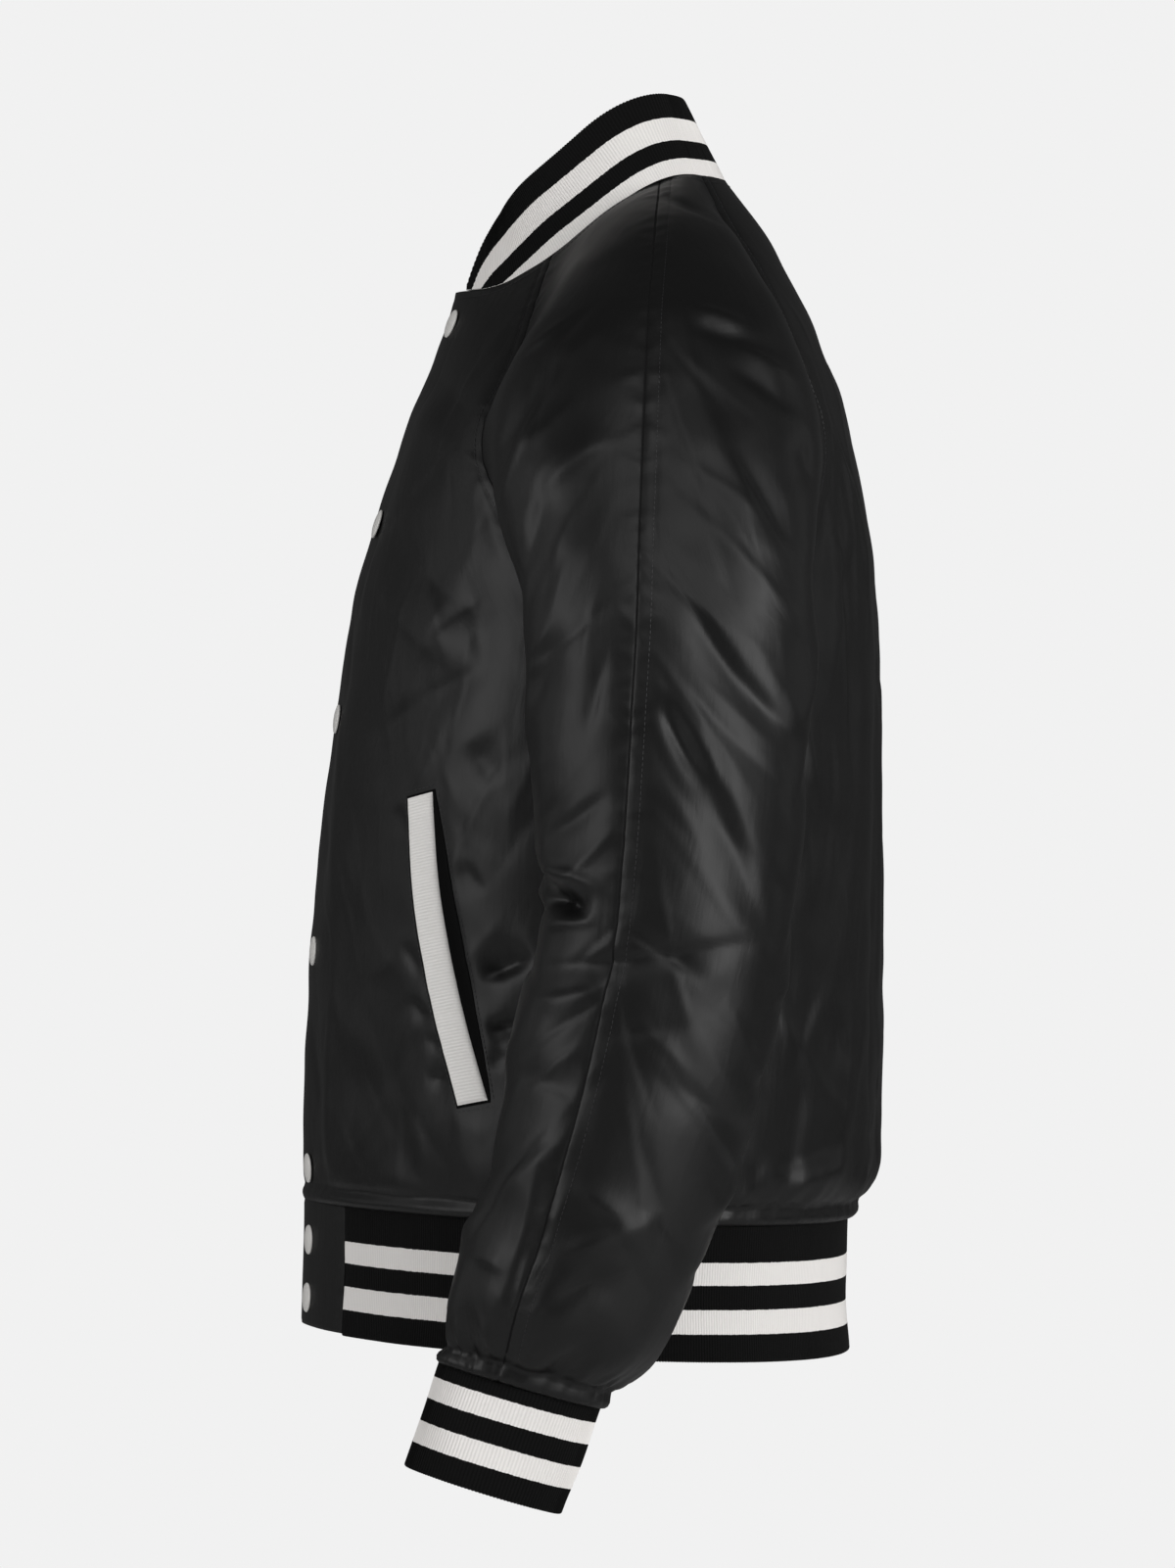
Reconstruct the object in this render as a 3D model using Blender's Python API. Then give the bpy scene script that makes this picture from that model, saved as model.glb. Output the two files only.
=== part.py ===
"""Satin varsity jacket, filled out as if worn: raglan sleeves, ribbed collar, hem and cuffs.

Metres, +Z up, wearer's left at +X, front at -Y. The origin is the middle of the neck base,
where the wearer's neck and shoulders carry the jacket. Every cloth piece is a wall of even
thickness whose outer face is a grid: rows run down the garment, columns run round it.
"""

import math
from types import SimpleNamespace

import bpy
import numpy as np

# Cloth and seams.
SATIN_WALL = 0.002
RIB_WALL = 0.003
WELT_WALL = 0.0016
SEAM_GAP = 0.0003
MITRE_LIMIT = 1.5
RAGLAN_FADE = 0.030
SHARP_ANGLE = 50

# Closure: arcs are measured round the body from centre front, towards the wearer's left.
LEFT_EDGE_ARC, SNAP_ARC, LAP_END_ARC = 0.003, 0.027, 0.043
RIGHT_EDGE_ARC, UNDERLAP_END_ARC = -0.037, 0.012
LAP_LIFT = 0.0022
UNDERLAP_DROP = 0.0026
TAB_ARC = 0.088
COLLAR_END_ARC = 0.031

# The right arm hangs this much further back than the left, at the cuff.
RIGHT_SWING = 0.008

# Hem, cuffs and the rolled satin edge above each rib.
HEM_FRONT_Z, HEM_BACK_Z = -0.573, -0.583
ROLL_HEIGHT = 0.0085
ROLL_OUT = 0.0028
ROLL_CREASE = 0.0012
ROLL_AT_CLOSURE = 0.35
ROLL_LEVELS = (1.7, 1.05, 0.5, 0.0)
ROLL_FULLNESS = 0.8
CREASE_LEVEL, CREASE_WIDTH = 1.1, 0.35
CALM_AT_HEM, CALM_AT_CUFF = 0.05, 0.04
GATHER_START = 0.35
HEM_WAVES, HEM_WAVE_DEPTH, HEM_WAVE_REACH = 17, 0.0016, 0.060
CUFF_WAVES, CUFF_WAVE_DEPTH, CUFF_WAVE_REACH = 9, 0.0018, 0.050
HEM_BANDS = (0.0205, 0.0130, 0.0138, 0.0137, 0.0145)
CUFF_BANDS = (0.0075, 0.0118, 0.0124, 0.0120, 0.0128)
COLLAR_BANDS = (0.0150, 0.0145, 0.0118, 0.0167)
COLLAR_LEAST_BAND = 0.0008

# Snap caps and pocket welts.
CAP_RADIUS, CAP_HEIGHT, CAP_RIM, CAP_SIDES = 0.0087, 0.0024, 0.0007, 20
SNAP_HEIGHTS = (-0.0575, -0.1752, -0.2900, -0.4263, -0.5539)
TAB_SNAP_HEIGHTS = (-0.5960, -0.6300)
WELT_TOP_Z, WELT_FOOT_Z = -0.334, -0.507
WELT_TOP_ARC, WELT_FOOT_ARC = 0.171, 0.212
WELT_BOW, WELT_WIDTH, WELT_GAP = 0.007, 0.020, 0.0009

# Lines and sections: how finely they are drawn, before a grid is laid along them.
FRONT_START_TURN, START_POINTS, RING_POINTS = -0.6, 60, 240
CENTRE = START_POINTS - 1
RISE_START, RISE_SPAN = 0.08, 0.80
SPAN_POINTS, NECK_POINTS, HALF_TUBE_POINTS, FOLD_POINTS, LEVEL_STEPS = 40, 80, 90, 13, 201
ARM_LENGTH = 0.46
CUFF_SEAM_TURN = 195
COLLAR_CROWDING = 1.3
SMALL_STEP, WIDE_STEP = 0.001, 0.004

# Grid sizes.
YOKE_ROWS, BODY_ROWS, TUBE_ROWS, YOKE_CROWDING, ABOVE_ROLL = 11, 9, 13, 1.25, 0.035
LEFT_LAP_ARCS = (LEFT_EDGE_ARC, 0.010, 0.0185, SNAP_ARC, 0.035, LAP_END_ARC)
RIGHT_LAP_ARCS = (RIGHT_EDGE_ARC, -0.022, -0.008, 0.003, UNDERLAP_END_ARC, 0.030)
FRONT_COLUMNS, BACK_COLUMNS, SLEEVE_COLUMNS = 11, 30, 13
COLLAR_COLUMNS, HEM_COLUMNS, CUFF_COLUMNS, TAB_ROWS = 48, 42, 22, 6
WELT_ROWS, WELT_COLUMNS = 14, 3

BLACK_SATIN = ("black_satin", (0.013, 0.013, 0.014), 0.42)
BLACK_RIB = ("black_rib", (0.006, 0.006, 0.006), 0.95)
WHITE_RIB = ("white_rib", (0.69, 0.66, 0.63), 0.92)
WHITE_CAP = ("white_cap", (0.74, 0.73, 0.71), 0.40)


class Table:
    """Rows of numbers under named columns, read smoothly along the first column."""

    def __init__(self, columns, rows):
        self.names = columns.split()
        self.rows = np.array(rows, float)
        self.keys = self.rows[:, 0]
        steps = np.diff(self.keys)[:, None]
        slopes = np.diff(self.rows, axis=0) / steps
        inner = (slopes[:-1] * steps[1:] + slopes[1:] * steps[:-1]) / (steps[:-1] + steps[1:])
        self.tangents = np.vstack([slopes[:1], inner, slopes[-1:]])

    def at(self, key):
        k = int(np.clip(np.searchsorted(self.keys, key) - 1, 0, len(self.keys) - 2))
        width = self.keys[k + 1] - self.keys[k]
        t = min(max((key - self.keys[k]) / width, 0.0), 1.0)
        start, end = self.rows[k], self.rows[k + 1]
        values = (
            (1 + 2 * t) * (1 - t) ** 2 * start
            + t * (1 - t) ** 2 * width * self.tangents[k]
            + t * t * (3 - 2 * t) * end
            + t * t * (t - 1) * width * self.tangents[k + 1]
        )
        return SimpleNamespace(**dict(zip(self.names, values)))


# Rings of the body from neckline (row 0) to armpit (row 9), front and back parts apart.
YOKE = Table(
    "row front_z front_y front_half front_round front_seam_y"
    " back_z back_y back_half back_round back_seam_y side_y",
    [
        (0, -0.0377, -0.0885, 0.0845, 2.00, -0.0330, 0.028, 0.0700, 0.0845, 2.20, 0.0555, 0.005),
        (1, -0.0560, -0.0930, 0.1150, 1.92, -0.0425, -0.003, 0.0935, 0.1020, 2.40, 0.0700, 0.004),
        (2, -0.0760, -0.1005, 0.1390, 1.92, -0.0490, -0.030, 0.1076, 0.1330, 2.60, 0.0870, 0.004),
        (3, -0.0980, -0.1090, 0.1640, 1.95, -0.0580, -0.060, 0.1230, 0.1590, 2.85, 0.1003, 0.004),
        (4, -0.1210, -0.1190, 0.1830, 2.00, -0.0710, -0.092, 0.1345, 0.1780, 3.00, 0.1125, 0.004),
        (5, -0.1450, -0.1254, 0.1905, 2.05, -0.0715, -0.125, 0.1430, 0.1920, 3.05, 0.1228, 0.005),
        (6, -0.1710, -0.1339, 0.1920, 2.10, -0.0600, -0.160, 0.1505, 0.1980, 2.95, 0.1190, 0.006),
        (7, -0.1990, -0.1426, 0.1945, 2.12, -0.0440, -0.195, 0.1565, 0.2000, 2.80, 0.1010, 0.006),
        (8, -0.2215, -0.1483, 0.1985, 2.15, -0.0240, -0.220, 0.1587, 0.2015, 2.65, 0.0660, 0.007),
        (9, -0.2370, -0.1507, 0.2031, 2.15, 0.0070, -0.237, 0.1597, 0.2031, 2.50, 0.0070, 0.007),
    ],
)

# Rings of the body below the armpit, by share of the way down to the hem seam.
BODY = Table(
    "share front_y back_y half side_y front_round back_round",
    [
        (0.00, -0.1507, 0.1597, 0.2031, 0.007, 2.15, 2.50),
        (0.13, -0.1574, 0.1614, 0.2035, 0.004, 2.12, 2.42),
        (0.27, -0.1642, 0.1627, 0.2030, 0.001, 2.05, 2.35),
        (0.42, -0.1696, 0.1632, 0.2010, -0.002, 2.00, 2.30),
        (0.57, -0.1737, 0.1631, 0.1990, -0.005, 1.92, 2.25),
        (0.72, -0.1764, 0.1628, 0.1985, -0.008, 1.85, 2.25),
        (0.85, -0.1777, 0.1610, 0.1985, -0.011, 1.80, 2.25),
        (0.94, -0.1778, 0.1568, 0.1962, -0.013, 1.75, 2.28),
        (1.00, -0.1772, 0.1430, 0.1870, -0.017, 1.72, 2.30),
    ],
)

# Rings of the hem rib, by share of its height.
HEM = Table(
    "share front_z back_z front_y back_y half side_y",
    [
        (0.0, HEM_FRONT_Z, HEM_BACK_Z, -0.1772, 0.1430, 0.1870, -0.017),
        (0.5, -0.6096, -0.6214, -0.1780, 0.1408, 0.1850, -0.018),
        (1.0, -0.6465, -0.6600, -0.1796, 0.1425, 0.1862, -0.018),
    ],
)

# Upper sleeve, by yoke row: front middle, crown (outer seam) and rear middle of each section,
# with the compass headings at which the section leaves the front seam and meets the back seam.
CAP = Table(
    "row front_x front_y front_z crown_x crown_y crown_z rear_x rear_y rear_z leave meet",
    [
        (0, 0.0842, -0.001, 0.0046, 0.0796, 0.0300, 0.0235, 0.0710, 0.0455, 0.0275, 80, 146),
        (1, 0.1125, -0.010, -0.0125, 0.1200, 0.0285, 0.0095, 0.1020, 0.0560, 0.0100, 66, 150),
        (2, 0.1460, -0.016, -0.0290, 0.1580, 0.0270, -0.0085, 0.1350, 0.0670, -0.0080, 58, 150),
        (3, 0.1770, -0.026, -0.0490, 0.1930, 0.0250, -0.0300, 0.1660, 0.0790, -0.0290, 46, 148),
        (4, 0.2030, -0.041, -0.0740, 0.2240, 0.0225, -0.0570, 0.1950, 0.0910, -0.0560, 28, 148),
        (5, 0.2210, -0.054, -0.1070, 0.2500, 0.0210, -0.0890, 0.2160, 0.1060, -0.0900, 6, 154),
        (6, 0.2335, -0.061, -0.1420, 0.2704, 0.0195, -0.1240, 0.2300, 0.1140, -0.1290, -20, 176),
        (7, 0.2430, -0.0590, -0.1740, 0.2874, 0.0180, -0.1610, 0.2410, 0.1165, -0.1680, -46, 208),
        (8, 0.2515, -0.0530, -0.2030, 0.3024, 0.0165, -0.1990, 0.2505, 0.1163, -0.2050, -64, 244),
        (9, 0.2587, -0.0478, -0.2320, 0.3160, 0.0155, -0.2380, 0.2587, 0.1146, -0.2460, -76, 284),
    ],
)

# Lower sleeve: sections across the arm, their rear side lower by the tilt. Seam turns are
# degrees from the widest point towards the front.
TUBE = Table(
    "share centre_x centre_y centre_z half_width half_depth tilt outer_turn inner_turn",
    [
        (0.00, 0.2618, 0.0334, -0.2390, 0.0557, 0.0815, 5, 12.7, 18.9),
        (0.15, 0.2658, 0.0342, -0.3020, 0.0592, 0.0780, 4, 16.9, 17.5),
        (0.30, 0.2702, 0.0331, -0.3686, 0.0610, 0.0748, 3, 20.0, 16.0),
        (0.40, 0.2720, 0.0320, -0.4130, 0.0612, 0.0705, 6, 24.0, 15.0),
        (0.53, 0.2727, 0.0192, -0.4654, 0.0603, 0.0728, 17, 21.0, 15.0),
        (0.70, 0.2722, 0.0034, -0.5363, 0.0593, 0.0665, 16, 24.0, 15.0),
        (0.84, 0.2695, -0.0157, -0.5922, 0.0570, 0.0642, 16.5, 23.0, 15.0),
        (0.935, 0.2670, -0.0330, -0.6330, 0.0500, 0.0600, 16, 21.0, 15.0),
        (1.00, 0.2662, -0.0495, -0.6630, 0.0270, 0.0470, 16, 15.0, 15.0),
    ],
)

CUFF = Table(
    "share centre_x centre_y centre_z half_width half_depth tilt",
    [
        (0.0, 0.2662, -0.0495, -0.6630, 0.0270, 0.0470, 16.0),
        (0.5, 0.2655, -0.0595, -0.6915, 0.0258, 0.0465, 16.6),
        (1.0, 0.2650, -0.0695, -0.7203, 0.0255, 0.0462, 17.3),
    ],
)

# Collar height and inward lean, by arc from centre front along the neck seam.
COLLAR = Table(
    "arc height lean",
    [
        (0.031, 0.0036, 4),
        (0.037, 0.0145, 5),
        (0.045, 0.0272, 6),
        (0.054, 0.0350, 7),
        (0.073, 0.0434, 9),
        (0.100, 0.0495, 12),
        (0.150, 0.0505, 18),
        (0.200, 0.0515, 23),
        (0.260, 0.0530, 27),
    ],
)

# The largest folds. Each runs between two points of a side view (y, z) or of a front view
# (x, z), bowed sideways, and stands in or out by its depth with soft flanks of its width.
FOLD_COLUMNS = "from_across from_z to_across to_z bow width depth"
SLEEVE_FOLDS = Table(
    FOLD_COLUMNS,
    [
        (0.0474, -0.2265, 0.1037, -0.2994, -0.006, 0.016, -0.0050),
        (0.0283, -0.2728, 0.0789, -0.3644, 0.004, 0.017, 0.0030),
        (0.0299, -0.2868, 0.0487, -0.3250, 0.000, 0.014, -0.0030),
        (0.0505, -0.3250, 0.0807, -0.4022, 0.004, 0.016, -0.0026),
        (-0.0333, -0.3901, -0.0080, -0.3950, 0.000, 0.015, -0.0060),
        (-0.0414, -0.3781, -0.0127, -0.3800, -0.003, 0.012, 0.0030),
        (-0.0440, -0.4276, 0.0744, -0.4137, -0.004, 0.014, -0.0036),
        (-0.0408, -0.4465, 0.0500, -0.4480, -0.006, 0.014, 0.0020),
        (-0.0640, -0.5572, -0.0229, -0.5232, 0.000, 0.014, 0.0026),
        (-0.0245, -0.5852, 0.0256, -0.5675, 0.000, 0.014, 0.0026),
        (-0.0464, -0.2864, -0.0301, -0.2385, 0.000, 0.012, -0.0030),
        (-0.0350, -0.1658, 0.0015, -0.1385, 0.004, 0.015, 0.0030),
        (0.0511, -0.1222, 0.0816, -0.1865, 0.004, 0.016, 0.0030),
        (0.0655, -0.1425, 0.1043, -0.2020, 0.004, 0.014, -0.0030),
    ],
)
FRONT_FOLDS = Table(
    FOLD_COLUMNS,
    [
        (0.030, -0.095, 0.140, -0.130, 0.012, 0.020, -0.0020),
        (0.060, -0.180, 0.170, -0.235, 0.010, 0.020, -0.0022),
        (0.120, -0.300, 0.185, -0.262, 0.000, 0.018, -0.0024),
        (0.070, -0.560, 0.085, -0.430, 0.004, 0.020, 0.0022),
        (0.150, -0.565, 0.135, -0.470, 0.003, 0.018, -0.0020),
    ],
)
BACK_FOLDS = Table(
    FOLD_COLUMNS,
    [
        (0.150, -0.130, 0.118, -0.330, -0.010, 0.020, -0.0030),
        (0.165, -0.200, 0.150, -0.400, 0.006, 0.018, 0.0026),
        (-0.148, -0.140, -0.122, -0.310, 0.010, 0.020, -0.0030),
        (-0.168, -0.210, -0.148, -0.380, -0.006, 0.018, 0.0026),
        (0.060, -0.250, 0.075, -0.500, 0.006, 0.024, -0.0020),
        (-0.040, -0.300, -0.062, -0.540, -0.006, 0.024, -0.0020),
        (0.110, -0.440, 0.125, -0.580, 0.000, 0.018, 0.0022),
        (-0.100, -0.470, -0.112, -0.580, 0.000, 0.018, 0.0022),
    ],
)


def unit(vectors):
    """The same vectors with length one."""
    lengths = np.linalg.norm(vectors, axis=-1, keepdims=True)
    return vectors / np.maximum(lengths, 1e-9)


def ease(share):
    """Smooth step from 0 to 1."""
    share = np.clip(share, 0.0, 1.0)
    return share * share * (3 - 2 * share)


def arcs_of(line):
    """Distance along a line of points from its first one."""
    return np.concatenate([[0.0], np.cumsum(np.linalg.norm(np.diff(line, axis=0), axis=1))])


def along(line, arcs, wanted):
    """Points of the line at the wanted arcs."""
    return np.stack([np.interp(wanted, arcs, line[:, axis]) for axis in range(3)], axis=-1)


def mirrored(grid):
    """The grid on the other side of the body, its columns still running the right way."""
    return grid[:, ::-1] * np.array([-1.0, 1.0, 1.0])


# ---- Body rings ----


def body_ring(level):
    """The ring at a level: 0 to 9 are yoke rows, 9 to 10 run down to the hem seam."""
    if level <= 9:
        return YOKE.at(level)
    share = level - 9
    ring = BODY.at(share)
    return SimpleNamespace(
        front_z=YOKE.at(9).front_z + (HEM_FRONT_Z - YOKE.at(9).front_z) * share,
        back_z=YOKE.at(9).back_z + (HEM_BACK_Z - YOKE.at(9).back_z) * share,
        front_y=ring.front_y,
        back_y=ring.back_y,
        side_y=ring.side_y,
        front_half=ring.half,
        back_half=ring.half,
        front_round=ring.front_round,
        back_round=ring.back_round,
        front_seam_y=ring.side_y,
        back_seam_y=ring.side_y,
    )


def ring_height(ring, y):
    """Height of the ring where it passes y: a yoke ring's rise comes beside the neck."""
    share = (y - ring.front_y) / (ring.back_y - ring.front_y)
    if ring.back_z > ring.front_z:
        share = ease((share - RISE_START) / RISE_SPAN)
    return ring.front_z + (ring.back_z - ring.front_z) * share


def front_line(ring):
    """Points from a little past centre front to the widest point, and their arcs."""
    past = np.linspace(FRONT_START_TURN, 0, START_POINTS)[:-1]
    turn = np.concatenate([past, np.linspace(0, math.pi / 2, RING_POINTS)])
    x = ring.front_half * np.sign(turn) * np.abs(np.sin(turn)) ** (2 / ring.front_round)
    y = ring.side_y - (ring.side_y - ring.front_y) * np.cos(turn) ** (2 / ring.front_round)
    line = np.stack([x, y, ring_height(ring, y)], axis=1)
    arcs = arcs_of(line)
    return line, arcs - arcs[CENTRE]


def back_line(ring):
    """Points from centre back to the widest point, and their arcs."""
    turn = np.linspace(0, math.pi / 2, RING_POINTS)
    x = ring.back_half * np.sin(turn) ** (2 / ring.back_round)
    y = ring.side_y + (ring.back_y - ring.side_y) * np.cos(turn) ** (2 / ring.back_round)
    line = np.stack([x, y, ring_height(ring, y)], axis=1)
    return line, arcs_of(line)


def yoke_levels():
    """Levels of the mesh rows from neck to armpit, closer where the raglan seams turn."""
    return 9 * (1 - np.linspace(1, 0, YOKE_ROWS + 1) ** YOKE_CROWDING)


def body_levels():
    """Mesh rows: the yoke, then the body, with closer rows at the rolled edge."""
    length = YOKE.at(9).front_z - HEM_FRONT_Z
    roll = [1 - level * ROLL_HEIGHT / length for level in ROLL_LEVELS]
    body = np.concatenate([np.linspace(0, roll[0] - ABOVE_ROLL, BODY_ROWS)[1:], roll])
    return np.concatenate([yoke_levels(), 9 + body])


def front_grid(levels, lap_arcs):
    """A front from its free edge to the raglan or side seam, with the arc of each point."""
    grid, arcs = [], []
    for level in levels:
        ring = body_ring(level)
        line, line_arcs = front_line(ring)
        end = np.interp(ring.front_seam_y, line[CENTRE:, 1], line_arcs[CENTRE:])
        rest = np.linspace(lap_arcs[-1], end, FRONT_COLUMNS + 1)[1:]
        row = np.concatenate([lap_arcs, rest])
        grid.append(along(line, line_arcs, row))
        arcs.append(row)
    return np.array(grid), np.array(arcs)


def back_grid(levels):
    """The back from the left seam round centre back to the right seam."""
    grid = []
    shares = np.linspace(1, -1, BACK_COLUMNS + 1)
    for level in levels:
        ring = body_ring(level)
        line, line_arcs = back_line(ring)
        end = np.interp(-ring.back_seam_y, -line[:, 1], line_arcs)
        row = along(line, line_arcs, np.abs(shares) * end)
        row[:, 0] *= np.sign(shares)
        grid.append(row)
    return np.array(grid)


def neck_line():
    """The neck seam from a little past centre front to centre back, and its arcs."""
    ring = body_ring(0)
    front, arcs = front_line(ring)
    back, _ = back_line(ring)
    line = np.vstack([front, back[::-1][1:]])
    return line, arcs_of(line) + arcs[0]


# ---- Sleeve sections ----


def section(points, leave, meet):
    """A smooth curve through a section's five points, as its front and its rear half."""
    points = np.array(points)
    chords = np.diff(points, axis=0)
    sizes = np.linalg.norm(chords, axis=1)[:, None]
    ways = chords / sizes
    inner = unit(sizes[1:] * ways[:-1] + sizes[:-1] * ways[1:])
    tangents = np.vstack([leave, inner, meet])
    t = np.linspace(0, 1, SPAN_POINTS)[:, None]
    pieces = []
    for k in range(4):
        turn = math.acos(float(np.clip(tangents[k] @ tangents[k + 1], -1, 1)))
        handle = sizes[k, 0] / (3 * math.cos(turn / 4) ** 2)
        first = points[k] + tangents[k] * handle
        second = points[k + 1] - tangents[k + 1] * handle
        curve = (1 - t) ** 3 * points[k] + 3 * t * (1 - t) ** 2 * first
        pieces.append(curve + 3 * t * t * (1 - t) * second + t**3 * points[k + 1])
    return np.vstack([pieces[0], pieces[1][1:]]), np.vstack([pieces[2], pieces[3][1:]])


def heading(degrees, start, end):
    """A unit direction with this compass heading and the rise between two points."""
    reach = math.hypot(end[0] - start[0], end[1] - start[1])
    angle = math.radians(degrees)
    return unit(np.array([math.cos(angle), math.sin(angle), (end[2] - start[2]) / reach]))


def cap_section(row):
    """The two halves of the upper sleeve's section at a yoke row."""
    if row == 0:
        line, arcs = neck_line()
        ends = [YOKE.at(0).front_seam_y, CAP.at(0).crown_y, YOKE.at(0).back_seam_y]
        stops = np.interp(ends, line[START_POINTS:, 1], arcs[START_POINTS:])
        halves = []
        for start, end in zip(stops[:-1], stops[1:]):
            halves.append(along(line, arcs, np.linspace(start, end, NECK_POINTS)))
        return halves
    ring, cap = YOKE.at(row), CAP.at(row)
    front, arcs = front_line(ring)
    seam_arc = np.interp(ring.front_seam_y, front[CENTRE:, 1], arcs[CENTRE:])
    seam_front = along(front, arcs, seam_arc)
    back, back_arcs = back_line(ring)
    seam_back = along(back, back_arcs, np.interp(-ring.back_seam_y, -back[:, 1], back_arcs))
    middle = (cap.front_x, cap.front_y, cap.front_z)
    crown = (cap.crown_x, cap.crown_y, cap.crown_z)
    rear = (cap.rear_x, cap.rear_y, cap.rear_z)
    leave = heading(cap.leave, seam_front, middle)
    meet = heading(cap.meet, rear, seam_back)
    return section([seam_front, middle, crown, rear, seam_back], leave, meet)


def around(part, degrees):
    """A point of an elliptical section, at an angle from its outer side towards the back."""
    angle, tilt = math.radians(degrees), math.radians(part.tilt)
    across = part.half_depth * math.sin(angle)
    return np.array(
        [
            part.centre_x + part.half_width * math.cos(angle),
            part.centre_y + across * math.cos(tilt),
            part.centre_z - across * math.sin(tilt),
        ]
    )


def tube_section(share):
    """The two halves of the lower sleeve's section, from the underarm seam and back to it."""
    part = TUBE.at(share)
    inner = 180 + part.inner_turn
    halves = []
    for start, end in ((inner, 360 - part.outer_turn), (-part.outer_turn, inner)):
        turns = np.linspace(start, end, HALF_TUBE_POINTS)
        halves.append(np.array([around(part, turn) for turn in turns]))
    if share == 0:
        halves[0][0] = halves[1][-1] = armpit_point()
    return halves


def armpit_point():
    """Where the left side seam, underarm seam and both raglan seams meet."""
    ring = YOKE.at(9)
    return np.array([ring.front_half, ring.side_y, ring.front_z])


def sleeve_grids():
    """Front and rear halves of the left sleeve, each sharing its seams with its neighbours."""
    rows = [cap_section(level) for level in yoke_levels()[:-1]]
    roll = [1 - level * ROLL_HEIGHT / ARM_LENGTH for level in ROLL_LEVELS]
    shares = np.concatenate([np.linspace(0, roll[0] - ABOVE_ROLL, TUBE_ROWS), roll])
    rows += [tube_section(share) for share in shares]
    grids = []
    for half in (0, 1):
        grid = []
        for row in rows:
            arcs = arcs_of(row[half])
            grid.append(along(row[half], arcs, np.linspace(0, arcs[-1], SLEEVE_COLUMNS + 1)))
        grids.append(np.array(grid))
    return grids


def swung(grid):
    """The right sleeve or cuff with its lower arm a little further back."""
    top, cuff = YOKE.at(9).back_z, CUFF.at(0).centre_z
    share = np.clip((top - grid[..., 2]) / (top - cuff), 0, None)
    return grid + np.stack([0 * share, RIGHT_SWING * share**2, 0 * share], axis=-1)


def heights_above_cuff(centres):
    """Distance of each sleeve row's centre from the cuff seam, along the arm."""
    steps = np.linalg.norm(np.diff(centres, axis=0), axis=1)
    return np.concatenate([np.cumsum(steps[::-1])[::-1], [0.0]])


# ---- Ribs ----


def band_edges(bands):
    """Shares of the height at which the bands of a rib begin and end."""
    return np.concatenate([[0.0], np.cumsum(bands)]) / sum(bands)


def hem_ring(share):
    """Ring of the hem rib at a share of its height."""
    ring = HEM.at(share)
    ring.front_half = ring.back_half = ring.half
    ring.front_round, ring.back_round = BODY.at(1).front_round, BODY.at(1).back_round
    return ring


def whole_hem_line(ring):
    """The hem ring's left half from centre front to centre back, and its arcs."""
    front, arcs = front_line(ring)
    back, _ = back_line(ring)
    line = np.vstack([front, back[::-1][1:]])
    return line, arcs_of(line) + arcs[0]


def hem_rib_grid():
    """The rib from the left tab round the back to the right tab."""
    grid = []
    for share in band_edges(HEM_BANDS):
        line, arcs = whole_hem_line(hem_ring(share))
        half = along(line, arcs, np.linspace(TAB_ARC, arcs[-1], HEM_COLUMNS // 2 + 1))
        grid.append(np.vstack([half, half[::-1][1:] * np.array([-1.0, 1.0, 1.0])]))
    return np.array(grid)


def tab_grid(lap_arcs):
    """A satin tab at the end of the rib, with the arc of each point."""
    row = np.concatenate([lap_arcs, np.linspace(lap_arcs[-1], TAB_ARC, 4)[1:]])
    grid = []
    for share in np.linspace(0, 1, TAB_ROWS):
        line, arcs = whole_hem_line(hem_ring(share))
        grid.append(along(line, arcs, row))
    return np.array(grid), np.array([row] * TAB_ROWS)


def cuff_grid():
    """The left cuff as a closed tube, one column short of a full turn."""
    grid = []
    for share in band_edges(CUFF_BANDS):
        part = CUFF.at(share)
        turns = CUFF_SEAM_TURN + np.arange(CUFF_COLUMNS) * 360 / CUFF_COLUMNS
        grid.append([around(part, turn) for turn in turns])
    return np.array(grid)


def collar_grid():
    """The collar from its left end round the neck to its right end, and its arcs."""
    line, arcs = neck_line()
    half = COLLAR_COLUMNS // 2
    shares = np.linspace(0, 1, half + 1) ** COLLAR_CROWDING
    places = COLLAR_END_ARC + (arcs[-1] - COLLAR_END_ARC) * shares
    seam = along(line, arcs, places)
    ahead = along(line, arcs, np.minimum(places + SMALL_STEP, arcs[-1]))
    behind = along(line, arcs, places - SMALL_STEP)
    run = unit(ahead - behind)
    level_run = unit(run * np.array([1.0, 1.0, 0.0]))
    outward = np.stack([level_run[:, 1], -level_run[:, 0], np.zeros(half + 1)], axis=1)
    edges = np.concatenate([[0.0], np.cumsum(COLLAR_BANDS)])
    grid = np.zeros((len(edges), half + 1, 3))
    for column, place in enumerate(places):
        shape = COLLAR.at(place)
        lean = math.radians(shape.lean)
        rise = np.array([0.0, 0.0, math.cos(lean)]) - outward[column] * math.sin(lean)
        rise = unit(rise - run[column] * (rise @ run[column]))
        for row, edge in enumerate(edges):
            below = (len(edges) - 1 - row) * COLLAR_LEAST_BAND
            depth = min(edge, shape.height - below) if row else 0.0
            depth = shape.height if row == len(edges) - 1 else max(depth, row * COLLAR_LEAST_BAND)
            grid[row, column] = seam[column] + rise * (shape.height - depth)
    whole = np.concatenate([grid, grid[:, ::-1][:, 1:] * np.array([-1.0, 1.0, 1.0])], axis=1)
    return whole, np.concatenate([places, -places[::-1][1:]])


# ---- Folds, gathers and lap ----


def lap_offset(arcs):
    """How far the left front stands out over the right one."""
    share = (LAP_END_ARC - arcs) / (LAP_END_ARC - LEFT_EDGE_ARC)
    return LAP_LIFT * np.clip(share, 0.0, 1.2) ** 1.4


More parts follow.
